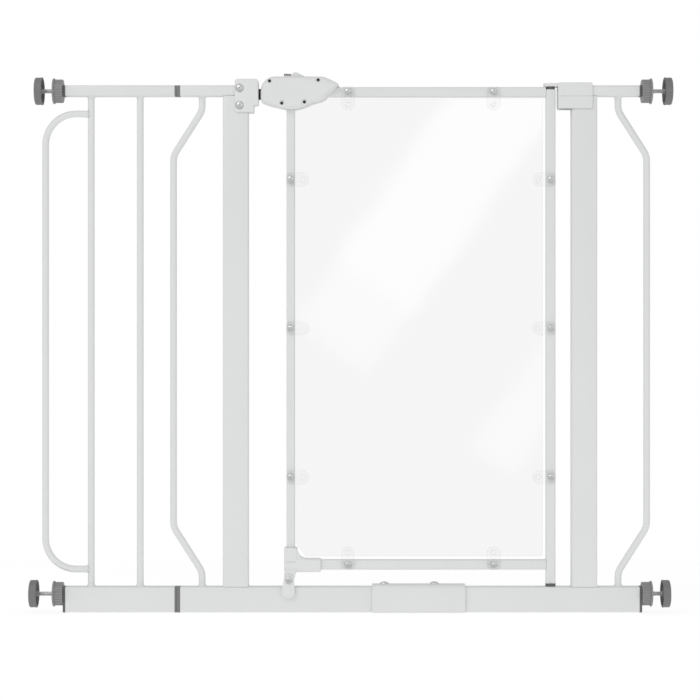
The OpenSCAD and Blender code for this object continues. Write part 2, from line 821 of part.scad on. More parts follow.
module swing_stop() {
    eye_r = 7.5;
    foot_r = 9.8;
    color(PLASTIC) difference() {
        hull() {
            rod_y(stop_x, stop_z, stop_back - stop_t, stop_back, 2 * eye_r);
            rod_y(stop_x - 1.2, stop_z - stop_drop, stop_back - stop_t, stop_back, 2 * foot_r);
        }
        rod_y(stop_x, stop_z, stop_back - stop_t - through, stop_back + through,
              STOP_SCREW[2] + 2 * run_clear);
    }
}

// ---------- handle and latch ----------

// The rounds that the handle's outline is stretched over, from the latch stile's top: x, z, r
HANDLE_ROUNDS = [[-25, -5, 17], [-28, -14.5, 13.8], [2.8, -21.5, 11.7], [63.3, 1.8, 3.5],
                 [39.8, 5.5, 6.6], [45.3, -16, 4]];
// Places of the handle's screws, from the same point
HANDLE_SCREWS = [[-29.4, 5.3], [38.4, 6.5], [-12.3, -26], [19.3, -24.3]];
handle_screw_d = 3;
handle_head_d = 4.6;
handle_recess_d = 8;
handle_recess = 1.2;
boss_d = 7;
carrier_low = door_top + 1.7;
carrier_h = 8.3;
slot_z = gate_h + 4;
tongue_tip = keeper_face + slide_gap;
tongue_end = latch_stile_x - latch_stile_w / 2 - latch_draw - 0.6;
riser_l = 9;
slide_end = tongue_end + 32;
slide_half_d = 4;
neck_l = 22;
neck_at = tongue_end + 4;
spring_z = carrier_low + carrier_h / 2;
spring_seat = latch_stile_x + HANDLE_SCREWS[1][0] - boss_d / 2 - fit_gap;
handle_top = gate_h + 12.1;

module handle_outline(inset) {
    hull() for (c = HANDLE_ROUNDS)
        translate([latch_stile_x + c[0], gate_h + c[1]]) circle(c[2] - inset, $fn = 48);
}

module handle_screw_places() {
    for (p = HANDLE_SCREWS) translate([latch_stile_x + p[0], 0, gate_h + p[1]]) children();
}

// One half of the handle; side is -1 for the front shell and 1 for the rear shell
module handle_shell(side) {
    inner_d = handle_half_d - handle_wall;
    mouth = 0.5;
    y0 = side < 0 ? -handle_half_d : 0;
    y1 = side < 0 ? 0 : handle_half_d;
    hollow0 = side < 0 ? -inner_d : -through;
    hollow1 = side < 0 ? through : inner_d;
    color(PLASTIC) difference() {
        union() {
            difference() {
                translate([0, y1, 0]) rotate([90, 0, 0]) linear_extrude(handle_half_d) handle_outline(0);
                translate([0, hollow1, 0]) rotate([90, 0, 0])
                    linear_extrude(hollow1 - hollow0) handle_outline(handle_wall);
            }
            intersection() {
                handle_screw_places() rod_y(0, 0, y0, y1, boss_d);
                translate([0, y1, 0]) rotate([90, 0, 0]) linear_extrude(handle_half_d) handle_outline(0);
            }
        }
        // the tongue's mouth
        block([keeper_face, -tongue_t / 2 - mouth, tongue_z - tongue_h / 2 - mouth],
              [tongue_end, tongue_t / 2 + mouth, tongue_z + tongue_h / 2 + mouth]);
        // the slot for the thumb slide's neck
        block([neck_at - latch_throw - mouth, -slide_half_d - mouth, slot_z],
              [neck_at + neck_l + latch_draw + mouth, slide_half_d + mouth, handle_top + 2 * through]);
        // the latch stile below and the top rail at the side
        block([latch_stile_x - latch_stile_w / 2 - fit_gap, -door_d / 2 - fit_gap, gate_h - 50],
              [stile_face_l + fit_gap, door_d / 2 + fit_gap, top_rail_z]);
        block([latch_stile_x + 30, -door_d / 2 - fit_gap, door_top - door_rail_h - fit_gap],
              [latch_stile_x + 80, door_d / 2 + fit_gap, door_top + fit_gap]);
        handle_screw_places() {
            rod_y(0, 0, -handle_half_d - through, inner_d - 4, handle_screw_d + 2 * fit_gap);
            rod_y(0, 0, -handle_half_d - through, -handle_half_d + handle_recess, handle_recess_d);
        }
    }
}

module handle_front_shell() {
    handle_shell(-1);
}

module handle_rear_shell() {
    handle_shell(1);
}

module handle_screws() {
    seat = -handle_half_d + handle_recess;
    head_h = 1;
    color(BLACK) handle_screw_places() screw_y(0, 0, seat, [handle_head_d, head_h, handle_screw_d],
                                               2 * handle_half_d - 10);
}

module latch_tongue() {
    color(BLACK) block([tongue_tip, -tongue_t / 2, tongue_z - tongue_h / 2],
                       [tongue_end, tongue_t / 2, tongue_z + tongue_h / 2]);
}

// The riser stands on the tongue, the carrier runs over the top rail, and the button rides outside
module thumb_slide() {
    peg_d = 3.2;
    peg_l = 4;
    skirt_z = handle_top + slide_gap;
    button_half_d = 7;
    peak_x = neck_at + 12;
    color(PLASTIC) {
        block([tongue_end - riser_l, -slide_half_d, tongue_z + tongue_h / 2],
              [tongue_end, slide_half_d, carrier_low + carrier_h]);
        block([tongue_end - riser_l, -slide_half_d, carrier_low],
              [slide_end, slide_half_d, carrier_low + carrier_h]);
        block([neck_at, -slide_half_d, carrier_low], [neck_at + neck_l, slide_half_d, skirt_z + through]);
        translate([slide_end - through, 0, spring_z]) rotate([0, 90, 0])
            cylinder(h = peg_l + through, d = peg_d);
        translate([0, button_half_d, 0]) rotate([90, 0, 0]) linear_extrude(2 * button_half_d)
            polygon([[neck_at - 3.5, skirt_z], [neck_at + neck_l + 3, skirt_z],
                     [neck_at + neck_l + 3, skirt_z + 0.8], [peak_x, skirt_z + 6],
                     [peak_x - 4.5, skirt_z + 4], [peak_x - 5, skirt_z + 1.2],
                     [neck_at - 3.5, skirt_z + 1.2]]);
    }
}

module thumb_grip() {
    skirt_z = handle_top + slide_gap;
    color(RUBBER) block([neck_at - 3.5, -6, skirt_z + 1.2], [neck_at + 7, 6, skirt_z + 4.2]);
}

// A coil spring from the slide's end to its seat, swept as rings of points round a helix
module latch_spring() {
    coil_r = 2.6;
    wire_r = 0.4;
    turns = 6;
    steps = 12;
    sides = 6;
    x0 = slide_end + wire_r + fit_gap;
    x1 = spring_seat - wire_r - fit_gap;
    n = turns * steps;
    points = [for (i = [0 : n], j = [0 : sides - 1])
        let (a = 360 * i / steps, b = 360 * j / sides, r = coil_r + wire_r * cos(b))
        [x0 + (x1 - x0) * i / n + wire_r * sin(b), r * cos(a), spring_z + r * sin(a)]];
    walls = [for (i = [0 : n - 1], j = [0 : sides - 1])
        let (k = (j + 1) % sides)
        [i * sides + j, (i + 1) * sides + j, (i + 1) * sides + k, i * sides + k]];
    ends = [[for (j = [0 : sides - 1]) j], [for (j = [sides - 1 : -1 : 0]) n * sides + j]];
    color(ZINC) polyhedron(points, concat(walls, ends), convexity = 10);
}

// ---------- what is drawn ----------

base_rail_left();
base_rail_right();
base_coupler();
coupler_screws();
latch_post();
hinge_post();
latch_side_top_arm();
hinge_side_top_arm();
latch_side_bowed_bar();
hinge_side_bowed_bar();
extension_top_tube();
extension_base_tube();
extension_outer_bar();
extension_inner_bar();
extension_d_bar();
top_joiner();
base_joiner();
end_cap(-1, arm_z, arm_h, arm_z);  // upper_left_cap
end_cap(-1, rail_h / 2, rail_h, lower_rod_z);  // lower_left_cap
end_cap(1, arm_z, arm_h, arm_z);  // upper_right_cap
end_cap(1, rail_h / 2, rail_h, lower_rod_z);  // lower_right_cap
wheel(-1, arm_z);  // upper_left_wheel
wheel(-1, lower_rod_z);  // lower_left_wheel
wheel(1, arm_z);  // upper_right_wheel
wheel(1, lower_rod_z);  // lower_right_wheel
wall_pad(-1, arm_z, reach_ul);  // upper_left_pad
wall_pad(-1, lower_rod_z, reach_ll);  // lower_left_pad
wall_pad(1, arm_z, reach_ur);  // upper_right_pad
wall_pad(1, lower_rod_z, reach_lr);  // lower_right_pad
rod(-1, arm_z, reach_ul);  // upper_left_rod
rod(-1, lower_rod_z, reach_ll);  // lower_left_rod
rod(1, arm_z, reach_ur);  // upper_right_rod
rod(1, lower_rod_z, reach_lr);  // lower_right_rod
keeper();
keeper_screws();
hinge_bracket();
upper_hinge_pin();
lower_hinge_pin();
lower_hinge_washer();
latch_stile();
hinge_stile();
door_top_rail();
door_bottom_rail();
upper_hinge_bush();
lower_hinge_bush();
clear_panel();
panel_clips();
clip_screws();
corner_elbow();
stop_screw();
swing_stop();
handle_front_shell();
handle_rear_shell();
handle_screws();
latch_tongue();
thumb_slide();
thumb_grip();
latch_spring();
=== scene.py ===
"""Looks of a pressure-mounted pet gate with a clear door panel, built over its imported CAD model."""

import json
import logging
import math
import random
from dataclasses import dataclass
from enum import Enum
from typing import Any, ClassVar, Iterable, Sequence

import bmesh
import bpy
from mathutils import Matrix, Vector
from mathutils.bvhtree import BVHTree


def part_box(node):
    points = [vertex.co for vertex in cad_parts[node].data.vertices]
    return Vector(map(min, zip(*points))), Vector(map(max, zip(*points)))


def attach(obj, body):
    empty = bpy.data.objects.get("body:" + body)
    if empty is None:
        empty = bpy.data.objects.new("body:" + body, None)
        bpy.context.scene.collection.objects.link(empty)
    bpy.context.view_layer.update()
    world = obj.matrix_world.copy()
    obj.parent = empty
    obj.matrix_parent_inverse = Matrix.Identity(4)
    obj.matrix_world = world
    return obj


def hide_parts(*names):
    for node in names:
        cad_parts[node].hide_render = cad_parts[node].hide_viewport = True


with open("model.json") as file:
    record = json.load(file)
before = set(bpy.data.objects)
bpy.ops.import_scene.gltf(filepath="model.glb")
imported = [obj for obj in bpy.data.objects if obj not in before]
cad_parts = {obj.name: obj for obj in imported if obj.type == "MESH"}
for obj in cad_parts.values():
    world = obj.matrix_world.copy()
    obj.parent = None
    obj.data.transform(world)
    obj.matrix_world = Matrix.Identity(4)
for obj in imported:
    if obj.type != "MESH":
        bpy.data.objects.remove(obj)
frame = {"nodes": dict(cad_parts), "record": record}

LOG = logging.getLogger("gate")
MM = 0.001
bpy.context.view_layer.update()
FIT = 0.12  # clearance round a tube inside a moulding, in mm
BAR_R = 4.75  # radius of the round bars, in mm

Point2 = tuple[float, float]
Triple = Sequence[float]
Edges = list[bmesh.types.BMEdge]


# ---------- shaders ----------


class Socket:
    """A node's output that can be used in Python arithmetic."""

    def __init__(self, graph: "Graph", output: bpy.types.NodeSocket | None) -> None:
        """Wraps an output of a node in graph."""
        self.graph = graph
        self.output = output

    def _math(self, operation: str, first: Any, second: Any) -> "Socket":
        """Adds a Math node for one operation on two values."""
        return self.graph.node("ShaderNodeMath", {"operation": operation}, {0: first, 1: second})

    def __add__(self, other: Any) -> "Socket":
        """self + other"""
        return self._math("ADD", self, other)

    __radd__ = __add__

    def __mul__(self, other: Any) -> "Socket":
        """self * other"""
        return self._math("MULTIPLY", self, other)

    __rmul__ = __mul__

    def __pow__(self, other: Any) -> "Socket":
        """self ** other"""
        return self._math("POWER", self, other)


class Graph:
    """The node tree of one material or world."""

    def __init__(self, owner: bpy.types.Material | bpy.types.World) -> None:
        """Starts an empty tree.

        Args:
            owner: the new material or world that the tree belongs to.
        """
        self.owner = owner
        self.owner.use_nodes = True
        self.tree = self.owner.node_tree
        self.tree.nodes.clear()

    def node(self, kind: str, settings: dict[str, Any] | None = None,
             inputs: dict[Any, Any] | None = None, output: Any = 0) -> Socket:
        """Adds a node.

        Args:
            kind: the node's type.
            settings: its properties, set before its inputs. "stops" holds a ramp's (place, grey) pairs.
            inputs: values or sockets by the input's name or number.
            output: name or number of the output to return.

        Returns:
            The chosen output, or an empty socket from a node that has none.
        """
        made = self.tree.nodes.new(kind)
        for key, value in (settings or {}).items():
            if key == "stops":
                self._fill_ramp(made.color_ramp, value)
            else:
                setattr(made, key, value)
        for key, value in (inputs or {}).items():
            if isinstance(value, Socket):
                self.tree.links.new(value.output, made.inputs[key])
            else:
                made.inputs[key].default_value = value
        return Socket(self, made.outputs[output] if len(made.outputs) else None)

    @staticmethod
    def _fill_ramp(ramp: bpy.types.ColorRamp, stops: Sequence[tuple[float, float]]) -> None:
        """Gives a colour ramp its stops.

        Args:
            ramp: the node's ramp.
            stops: (place, grey) pairs in order.
        """
        while len(ramp.elements) < len(stops):
            ramp.elements.new(0.5)
        for element, (place, grey) in zip(ramp.elements, stops):
            element.position = place
            element.color = (grey, grey, grey, 1.0)

    def object_point(self) -> Socket:
        """The shaded point in the object's own coordinates."""
        return self.node("ShaderNodeTexCoord", output="Object")

    def noise(self, scale: float, detail: float = 2.0, where: Socket | None = None) -> Socket:
        """Noise from 0 to 1 with this many waves to a metre."""
        return self.node("ShaderNodeTexNoise", {"noise_dimensions": "3D"},
                         {"Vector": where or self.object_point(), "Scale": scale, "Detail": detail})

    def bump(self, height: Socket, depth_mm: float, strength: float = 1.0) -> Socket:
        """A normal from a height that runs over depth_mm."""
        return self.node("ShaderNodeBump", None,
                         {"Strength": strength, "Distance": depth_mm * MM, "Height": height})

    def tint(self, dark: Triple, light: Triple, amount: Socket) -> Socket:
        """A colour between two, by amount."""
        return self.node("ShaderNodeMix", {"data_type": "RGBA"},
                         {0: amount, 6: (*dark, 1.0), 7: (*light, 1.0)}, output=2)

    def surface(self, shader: Socket) -> bpy.types.Material:
        """Sends a shader to the output and returns the material."""
        self.node("ShaderNodeOutputMaterial", None, {"Surface": shader})
        return self.owner


@dataclass(frozen=True)
class PowderCoat:
    """Baked white paint on steel, with a faint orange-peel surface."""

    name: str = "white_powder_coat"
    dark: Triple = (0.775, 0.785, 0.782)
    light: Triple = (0.815, 0.825, 0.822)
    roughness: float = 0.36

    def make(self) -> bpy.types.Material:
        """Builds the material.

        Returns:
            The finished material.
        """
        g = Graph(bpy.data.materials.new(self.name))
        drift = g.noise(9.0, 3.0)
        peel = g.noise(620.0, 2.0)
        return g.surface(g.node("ShaderNodeBsdfPrincipled", None, {
            "Base Color": g.tint(self.dark, self.light, drift),
            "Roughness": self.roughness + peel * 0.08,
            "Coat Weight": 0.2, "Coat Roughness": 0.22,
            "Normal": g.bump(peel, 0.05, 0.35)}))


@dataclass(frozen=True)
class Moulding:
    """Moulded plastic with a fine spark-eroded grain."""

    name: str
    dark: Triple
    light: Triple
    roughness: float = 0.42
    grain: float = 0.03

    def make(self) -> bpy.types.Material:
        """Builds the material.

        Returns:
            The finished material.
        """
        g = Graph(bpy.data.materials.new(self.name))
        drift = g.noise(22.0, 3.0)
        grain = g.noise(2300.0, 3.0)
        return g.surface(g.node("ShaderNodeBsdfPrincipled", None, {
            "Base Color": g.tint(self.dark, self.light, drift),
            "Roughness": self.roughness - 0.05 + grain * 0.1,
            "Normal": g.bump(grain, self.grain, 0.5)}))


@dataclass(frozen=True)
class Rubber:
    """Soft grey rubber with a dusty, uneven bloom."""

    name: str
    dark: Triple
    light: Triple

    def make(self) -> bpy.types.Material:
        """Builds the material.

        Returns:
            The finished material.
        """
        g = Graph(bpy.data.materials.new(self.name))
        bloom = g.noise(60.0, 4.0)
        grain = g.noise(1500.0, 3.0)
        return g.surface(g.node("ShaderNodeBsdfPrincipled", None, {
            "Base Color": g.tint(self.dark, self.light, bloom),
            "Roughness": 0.45 + bloom * 0.15,
            "Normal": g.bump(grain, 0.05, 0.5)}))


@dataclass(frozen=True)
class ZincSteel:
    """Zinc-plated steel with soft smudges in its shine."""

    name: str = "zinc_plated_steel"

    def make(self) -> bpy.types.Material:
        """Builds the material.

        Returns:
            The finished material.
        """
        g = Graph(bpy.data.materials.new(self.name))
        smudge = g.noise(180.0, 3.0)
        scratch = g.noise(2600.0, 2.0)
        return g.surface(g.node("ShaderNodeBsdfPrincipled", None, {
            "Base Color": g.tint((0.72, 0.725, 0.73), (0.88, 0.885, 0.89), smudge),
            "Metallic": 1.0,
            "Roughness": 0.3 + smudge * 0.14,
            "Normal": g.bump(scratch, 0.012, 0.4)}))


@dataclass(frozen=True)
class ClearSheet:
    """A clear plastic surface: it lets light straight through and mirrors a little of it."""

    name: str
    through: Triple
    body: Triple
    body_share: float
    roughness: float
    ripple_mm: float
    mirror: float = 0.04

    def make(self) -> bpy.types.Material:
        """Builds the material.

        Returns:
            The finished material.
        """
        g = Graph(bpy.data.materials.new(self.name))
        waves = g.bump(g.noise(14.0, 1.0), self.ripple_mm, 0.3)
        clear = g.node("ShaderNodeBsdfTransparent", None, {"Color": (*self.through, 1.0)})
        milk = g.node("ShaderNodeBsdfPrincipled", None, {
            "Base Color": (*self.body, 1.0), "Roughness": 0.3, "Normal": waves})
        inside = g.node("ShaderNodeMixShader", None, {0: self.body_share, 1: clear, 2: milk})
        shine = g.node("ShaderNodeBsdfGlossy", None, {
            "Color": (1.0, 1.0, 1.0, 1.0), "Roughness": self.roughness, "Normal": waves})
        grazing = g.node("ShaderNodeLayerWeight", None, {"Blend": 0.5}, output="Facing")
        share = grazing ** 5.0 * (1.0 - self.mirror) + self.mirror
        return g.surface(g.node("ShaderNodeMixShader", None, {0: share, 1: inside, 2: shine}))


class Finish(Enum):
    """The gate's finishes, each under the record's name for its slot and a variant after a colon."""

    POWDER = "powder_coat"
    WHITE = "white_plastic"
    DARK = "dark_plastic"
    BLACK = "black_plastic"
    GREY = "grey_plastic"
    RUBBER = "grey_rubber"
    ZINC = "zinc_steel"
    ACRYLIC = "clear_acrylic"
    CLIP = "clear_plastic"
    BAND = "dark_plastic:joiner"

    @property
    def slot(self) -> str:
        """The record's slot for this finish."""
        return self.value.split(":")[0]


class Palette:
    """Makes each finish once and hands out its material."""

    RECIPES: dict[Finish, Any] = {
        Finish.POWDER: PowderCoat(),
        Finish.WHITE: Moulding("white_moulding", (0.785, 0.795, 0.79), (0.825, 0.835, 0.83)),
        Finish.DARK: Moulding("charcoal_moulding", (0.115, 0.115, 0.118), (0.15, 0.15, 0.153), 0.5),
        Finish.BAND: Moulding("joiner_moulding", (0.185, 0.186, 0.188), (0.23, 0.231, 0.233), 0.46),
        Finish.BLACK: Moulding("black_nylon", (0.012, 0.012, 0.013), (0.02, 0.02, 0.021), 0.4),
        Finish.GREY: Moulding("grey_knob_moulding", (0.27, 0.27, 0.271), (0.32, 0.32, 0.321), 0.34, 0.04),
        Finish.RUBBER: Rubber("grey_pad_rubber", (0.17, 0.17, 0.172), (0.22, 0.22, 0.222)),
        Finish.ZINC: ZincSteel(),
        Finish.ACRYLIC: ClearSheet("clear_acrylic_sheet", (0.974, 0.974, 0.974), (0.9, 0.905, 0.905),
                                   0.012, 0.06, 0.4),
        Finish.CLIP: ClearSheet("clear_clip_plastic", (0.992, 0.992, 0.992), (0.75, 0.755, 0.755),
                                0.03, 0.12, 0.05, 0.015),
    }

    def __init__(self) -> None:
        """Starts with nothing made."""
        self._made: dict[Finish, bpy.types.Material] = {}

    def of(self, finish: Finish) -> bpy.types.Material:
        """The material of a finish.

        Args:
            finish: the finish that is wanted.

        Returns:
            Its material, made the first time it is asked for.
        """
        if finish not in self._made:
            self._made[finish] = self.RECIPES[finish].make()
        return self._made[finish]


PALETTE = Palette()


# ---------- meshes ----------


class Plane(Enum):
    """Which way an outline faces and the order of its two coordinates."""

    FRONT = "xz"
    SIDE = "yz"
    TOP = "xy"


class Merge(Enum):
    """How one solid is combined with another."""

    ADD = "UNION"
    CUT = "DIFFERENCE"


def rounded(x0: float, x1: float, z0: float, z1: float, r: float, steps: int = 5) -> list[Point2]:
    """The outline of a rectangle with round corners.

    Args:
        x0: its lowest first coordinate.
        x1: its highest first coordinate.
        z0: its lowest second coordinate.
        z1: its highest second coordinate.
        r: the corners' radius.
        steps: how many edges each corner has.

    Returns:
        The outline's points in order.
    """
    points: list[Point2] = []
    centres = ((x1 - r, z1 - r, 0), (x0 + r, z1 - r, 90), (x0 + r, z0 + r, 180), (x1 - r, z0 + r, 270))
    for cx, cz, first in centres:
        for i in range(steps + 1):
            a = math.radians(first + 90 * i / steps)
            points.append((cx + r * math.cos(a), cz + r * math.sin(a)))
    return points


def span(node: str) -> tuple[Vector, Vector]:
    """A CAD node's lowest and highest corners in millimetres."""
    low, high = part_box(node)
    return low / MM, high / MM


class Shape:
    """A mesh under construction, in millimetres."""

    def __init__(self) -> None:
        """Starts an empty mesh."""
        self.bm = bmesh.new()

    def box(self, low: Triple, high: Triple) -> "Shape":
        """Adds a block.

        Args:
            low: its lowest corner.
            high: its highest corner.

        Returns:
            This shape.
        """
        verts = bmesh.ops.create_cube(self.bm, size=1.0)["verts"]
        bmesh.ops.scale(self.bm, vec=[b - a for a, b in zip(low, high)], verts=verts)
        bmesh.ops.translate(self.bm, vec=[(a + b) / 2 for a, b in zip(low, high)], verts=verts)
        return self

    def prism(self, outline: Sequence[Point2], plane: Plane, start: float, end: float) -> "Shape":
        """Adds an outline drawn out across its plane.

        Args:
            outline: its points in order.
            plane: the plane that it lies in.
            start: where the solid starts, across the plane.
            end: where it ends.

        Returns:
            This shape.
        """
        along = {Plane.FRONT: (0, 1, 0), Plane.SIDE: (1, 0, 0), Plane.TOP: (0, 0, 1)}[plane]
        corners = [{Plane.FRONT: (u, start, v), Plane.SIDE: (start, u, v), Plane.TOP: (u, v, start)}[plane]
                   for u, v in outline]
        face = self.bm.faces.new([self.bm.verts.new(corner) for corner in corners])
        grown = bmesh.ops.extrude_face_region(self.bm, geom=[face])["geom"]
        moved = [g for g in grown if isinstance(g, bmesh.types.BMVert)]
        bmesh.ops.translate(self.bm, vec=Vector(along) * (end - start), verts=moved)
        return self.outward()

    def disc(self, u: float, v: float, r: float, plane: Plane, start: float, end: float,
             steps: int = 48) -> "Shape":
        """Adds a round prism.

        Args:
            u: its middle's first coordinate in the plane.
            v: its middle's second coordinate.
            r: its radius.
            plane: the plane that its face lies in.
            start: where it starts, across the plane.
            end: where it ends.
            steps: how many sides it has.

        Returns:
            This shape.
        """
        ring = [(u + r * math.cos(2 * math.pi * i / steps), v + r * math.sin(2 * math.pi * i / steps))
                for i in range(steps)]
        return self.prism(ring, plane, start, end)

    def lathe(self, profile: Sequence[Point2], steps: int = 64, closed: bool = False) -> "Shape":
        """Spins a profile of (radius, height) points about Z.

        Args:
            profile: the points in order.
            steps: how many faces go round.
            closed: joins the last point to the first.

        Returns:
            This shape.
        """
        verts = [self.bm.verts.new((r, 0.0, h)) for r, h in profile]
        pairs = list(zip(verts, verts[1:])) + ([(verts[-1], verts[0])] if closed else [])
        edges = [self.bm.edges.new(pair) for pair in pairs]
        bmesh.ops.spin(self.bm, geom=verts + edges, cent=(0, 0, 0), axis=(0, 0, 1), dvec=(0, 0, 0),
                       angle=2 * math.pi, steps=steps, use_merge=True, use_duplicate=False)
        bmesh.ops.remove_doubles(self.bm, verts=self.bm.verts[:], dist=1e-4)
        return self.outward()

    def ring(self, points: Sequence[Triple]) -> Edges:
        """Adds a closed ring of edges and fills it.

        Args:
            points: the ring's corners in order.

        Returns:
            The ring's edges.
        """
        verts = [self.bm.verts.new(point) for point in points]
        edges = [self.bm.edges.new(pair) for pair in zip(verts, verts[1:] + verts[:1])]
        bmesh.ops.edgeloop_fill(self.bm, edges=edges)
        return edges

    def raised(self, ring: Edges) -> tuple[Edges, list[bmesh.types.BMVert]]:
        """Extrudes a ring of edges, in place.

        Args:
            ring: the edges.

        Returns:
            The new ring's edges and vertices.
        """
        grown = bmesh.ops.extrude_edge_only(self.bm, edges=ring)["geom"]
        verts = [g for g in grown if isinstance(g, bmesh.types.BMVert)]
        fresh = set(verts)
        edges = [g for g in grown if isinstance(g, bmesh.types.BMEdge) and all(v in fresh for v in g.verts)]
        return edges, verts

    def outward(self) -> "Shape":
        """Turns all faces outwards."""
        bmesh.ops.recalc_face_normals(self.bm, faces=self.bm.faces[:])
        return self

    def soften(self, width: float, segments: int = 3, over: float = 30.0) -> "Shape":
        """Rounds the sharp edges.

        Args:
            width: how far the rounding reaches from an edge.
            segments: how many faces it has across.
            over: edges that turn by more than this many degrees are sharp.

        Returns:
            This shape.
        """
        limit = math.radians(over)
        edges = [e for e in self.bm.edges if len(e.link_faces) == 2 and e.calc_face_angle(0.0) > limit]
        bmesh.ops.bevel(self.bm, geom=edges, offset=width, offset_type="OFFSET", affect="EDGES",
                        segments=segments, profile=0.5, material=-1, clamp_overlap=True)
        return self

    def moved(self, matrix: Matrix) -> "Shape":
        """Turns or moves the whole shape."""
        bmesh.ops.transform(self.bm, matrix=matrix, verts=self.bm.verts[:])
        return self.outward() if matrix.determinant() < 0 else self

    def facing(self, axis: Triple, at: Triple) -> "Shape":
        """Turns the shape's Z to an axis and moves its origin to a point."""
        turn = Vector((0, 0, 1)).rotation_difference(Vector(axis)).to_matrix().to_4x4()
        return self.moved(Matrix.Translation(at) @ turn)

    def with_copy(self, other: "Shape", matrix: Matrix | None = None) -> "Shape":
        """Adds a copy of another shape without merging it in.

        Args:
            other: the shape that is copied.
            matrix: how the copy is turned and moved.

        Returns:
            This shape.
        """
        mesh = bpy.data.meshes.new("copy")
        other.bm.to_mesh(mesh)
        before = set(self.bm.verts)
        self.bm.from_mesh(mesh)
        bpy.data.meshes.remove(mesh)
        if matrix is not None:
            fresh = [v for v in self.bm.verts if v not in before]
            bmesh.ops.transform(self.bm, matrix=matrix, verts=fresh)
            if matrix.determinant() < 0:
                faces = [f for f in self.bm.faces if f.verts[0] not in before]
                bmesh.ops.reverse_faces(self.bm, faces=faces)
        return self

    def _object(self) -> bpy.types.Object:
        """Puts a copy of this mesh in the scene.

        Returns:
            The scratch object that holds it.
        """
        mesh = bpy.data.meshes.new("scratch")
        self.bm.to_mesh(mesh)
        made = bpy.data.objects.new("scratch", mesh)
        bpy.context.scene.collection.objects.link(made)
        return made

    def merged(self, other: "Shape", how: Merge) -> "Shape":
        """Combines this solid with another one.

        Args:
            other: the other solid.
            how: what is done with it.

        Returns:
            This shape.
        """
        mine, theirs = self._object(), other._object()
        step = mine.modifiers.new("merge", "BOOLEAN")
        step.operation, step.solver, step.object = how.value, "EXACT", theirs
        graph = bpy.context.evaluated_depsgraph_get()
        result = bpy.data.meshes.new_from_object(mine.evaluated_get(graph))
        self.bm.free()
        self.bm = bmesh.new()
        self.bm.from_mesh(result)
        for made in (mine, theirs):
            mesh = made.data
            bpy.data.objects.remove(made)
            bpy.data.meshes.remove(mesh)
        bpy.data.meshes.remove(result)
        return self

    def _closed(self) -> None:
        """Takes away loose edges and fills open rings."""
        bmesh.ops.delete(self.bm, geom=[e for e in self.bm.edges if e.is_wire], context="EDGES")
        rings = [e for e in self.bm.edges if e.is_boundary]
        if rings:
            bmesh.ops.holes_fill(self.bm, edges=rings, sides=0)
            bmesh.ops.dissolve_degenerate(self.bm, dist=1e-3, edges=self.bm.edges[:])

    def publish(self, name: str, finish: Finish, body: str, nodes: Iterable[str] = (),
                smooth: float = 32.0) -> bpy.types.Object:
        """Turns the shape into a finished piece.

        Args:
            name: the piece's name.
            finish: its finish, whose material the piece's mesh takes.
            body: the CAD body that it rides on.
            nodes: the CAD nodes that it stands for.
            smooth: edges that turn by less than this many degrees are shaded smooth.

        Returns:
            The piece.
        """
        self._closed()
        bmesh.ops.scale(self.bm, vec=(MM, MM, MM), verts=self.bm.verts[:])
        mesh = bpy.data.meshes.new(name)
        self.bm.to_mesh(mesh)
        self.bm.free()
        mesh.shade_smooth()
        mesh.set_sharp_from_angle(angle=math.radians(smooth))
        mesh.materials.append(PALETTE.of(finish))
        piece = bpy.data.objects.new(name, mesh)
        bpy.context.scene.collection.objects.link(piece)
        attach(piece, body)
        if nodes:
            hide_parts(*nodes)
        LOG.info("%s: %d faces on %s", name, len(mesh.polygons), body)
        return piece


# ---------- hardware ----------


@dataclass
class PanScrew:
    """A cross-head screw with a domed head; it lies along +Y with its head's seat at y = 0."""

    head_r: float
    head_h: float
    shank_r: float
    length: float

    def build(self) -> Shape:
        """Makes the screw's mesh.

        Returns:
            The screw.
        """
        dome = [(0.0, -self.head_h)]
        for i in range(1, 7):
            a = math.radians(90 * i / 6)
            dome.append((self.head_r * math.sin(a) ** 0.8, -self.head_h * (0.25 + 0.75 * math.cos(a))))
        rim = [(self.head_r, 0.0), (self.shank_r, 0.0), (self.shank_r, self.length - self.shank_r),
               (0.0, self.length)]
        screw = Shape().lathe(dome + rim, 40)
        half, arm, deep = 0.12 * self.head_r, 0.5 * self.head_r, 0.62 * self.head_h
        cross = Shape().box((-arm, -half, -self.head_h - 1), (arm, half, -self.head_h + deep))
        upright = Shape().box((-half, -arm, -self.head_h - 1), (half, arm, -self.head_h + deep))
        cross.merged(upright, Merge.ADD)
        screw.merged(cross, Merge.CUT)
        return screw.moved(Matrix.Rotation(math.radians(-90), 4, "X"))


class ScrewSet:
    """Copies of one screw at several places."""

    def __init__(self, screw: PanScrew) -> None:
        """Makes the screw that is copied."""
        self.pattern = screw.build()
        self.shape = Shape()

    def at(self, x: float, y: float, z: float, turn: float = 0.0) -> "ScrewSet":
        """Adds a screw that points to the back.

        Args:
            x: where its head bears, across.
            y: where its head bears, to the back.
            z: where its head bears, up.
            turn: how far its cross is turned, in degrees.

        Returns:
            This set.
        """
        place = Matrix.Translation((x, y, z)) @ Matrix.Rotation(math.radians(turn), 4, "Y")
        self.shape.with_copy(self.pattern, place)
        return self

    def down(self, x: float, y: float, z: float, turn: float = 0.0) -> "ScrewSet":
        """Adds a screw that points down, with its head on top.

        Args:
            x: where its head bears, across.
            y: where its head bears, to the back.
            z: where its head bears, up.
            turn: how far its cross is turned, in degrees.

        Returns:
            This set.
        """
        turned = Matrix.Rotation(math.radians(turn), 4, "Z") @ Matrix.Rotation(math.radians(-90), 4, "X")
        self.shape.with_copy(self.pattern, Matrix.Translation((x, y, z)) @ turned)
        return self


class Side(Enum):
    """The two ends of the gate."""

    LEFT = -1
    RIGHT = 1


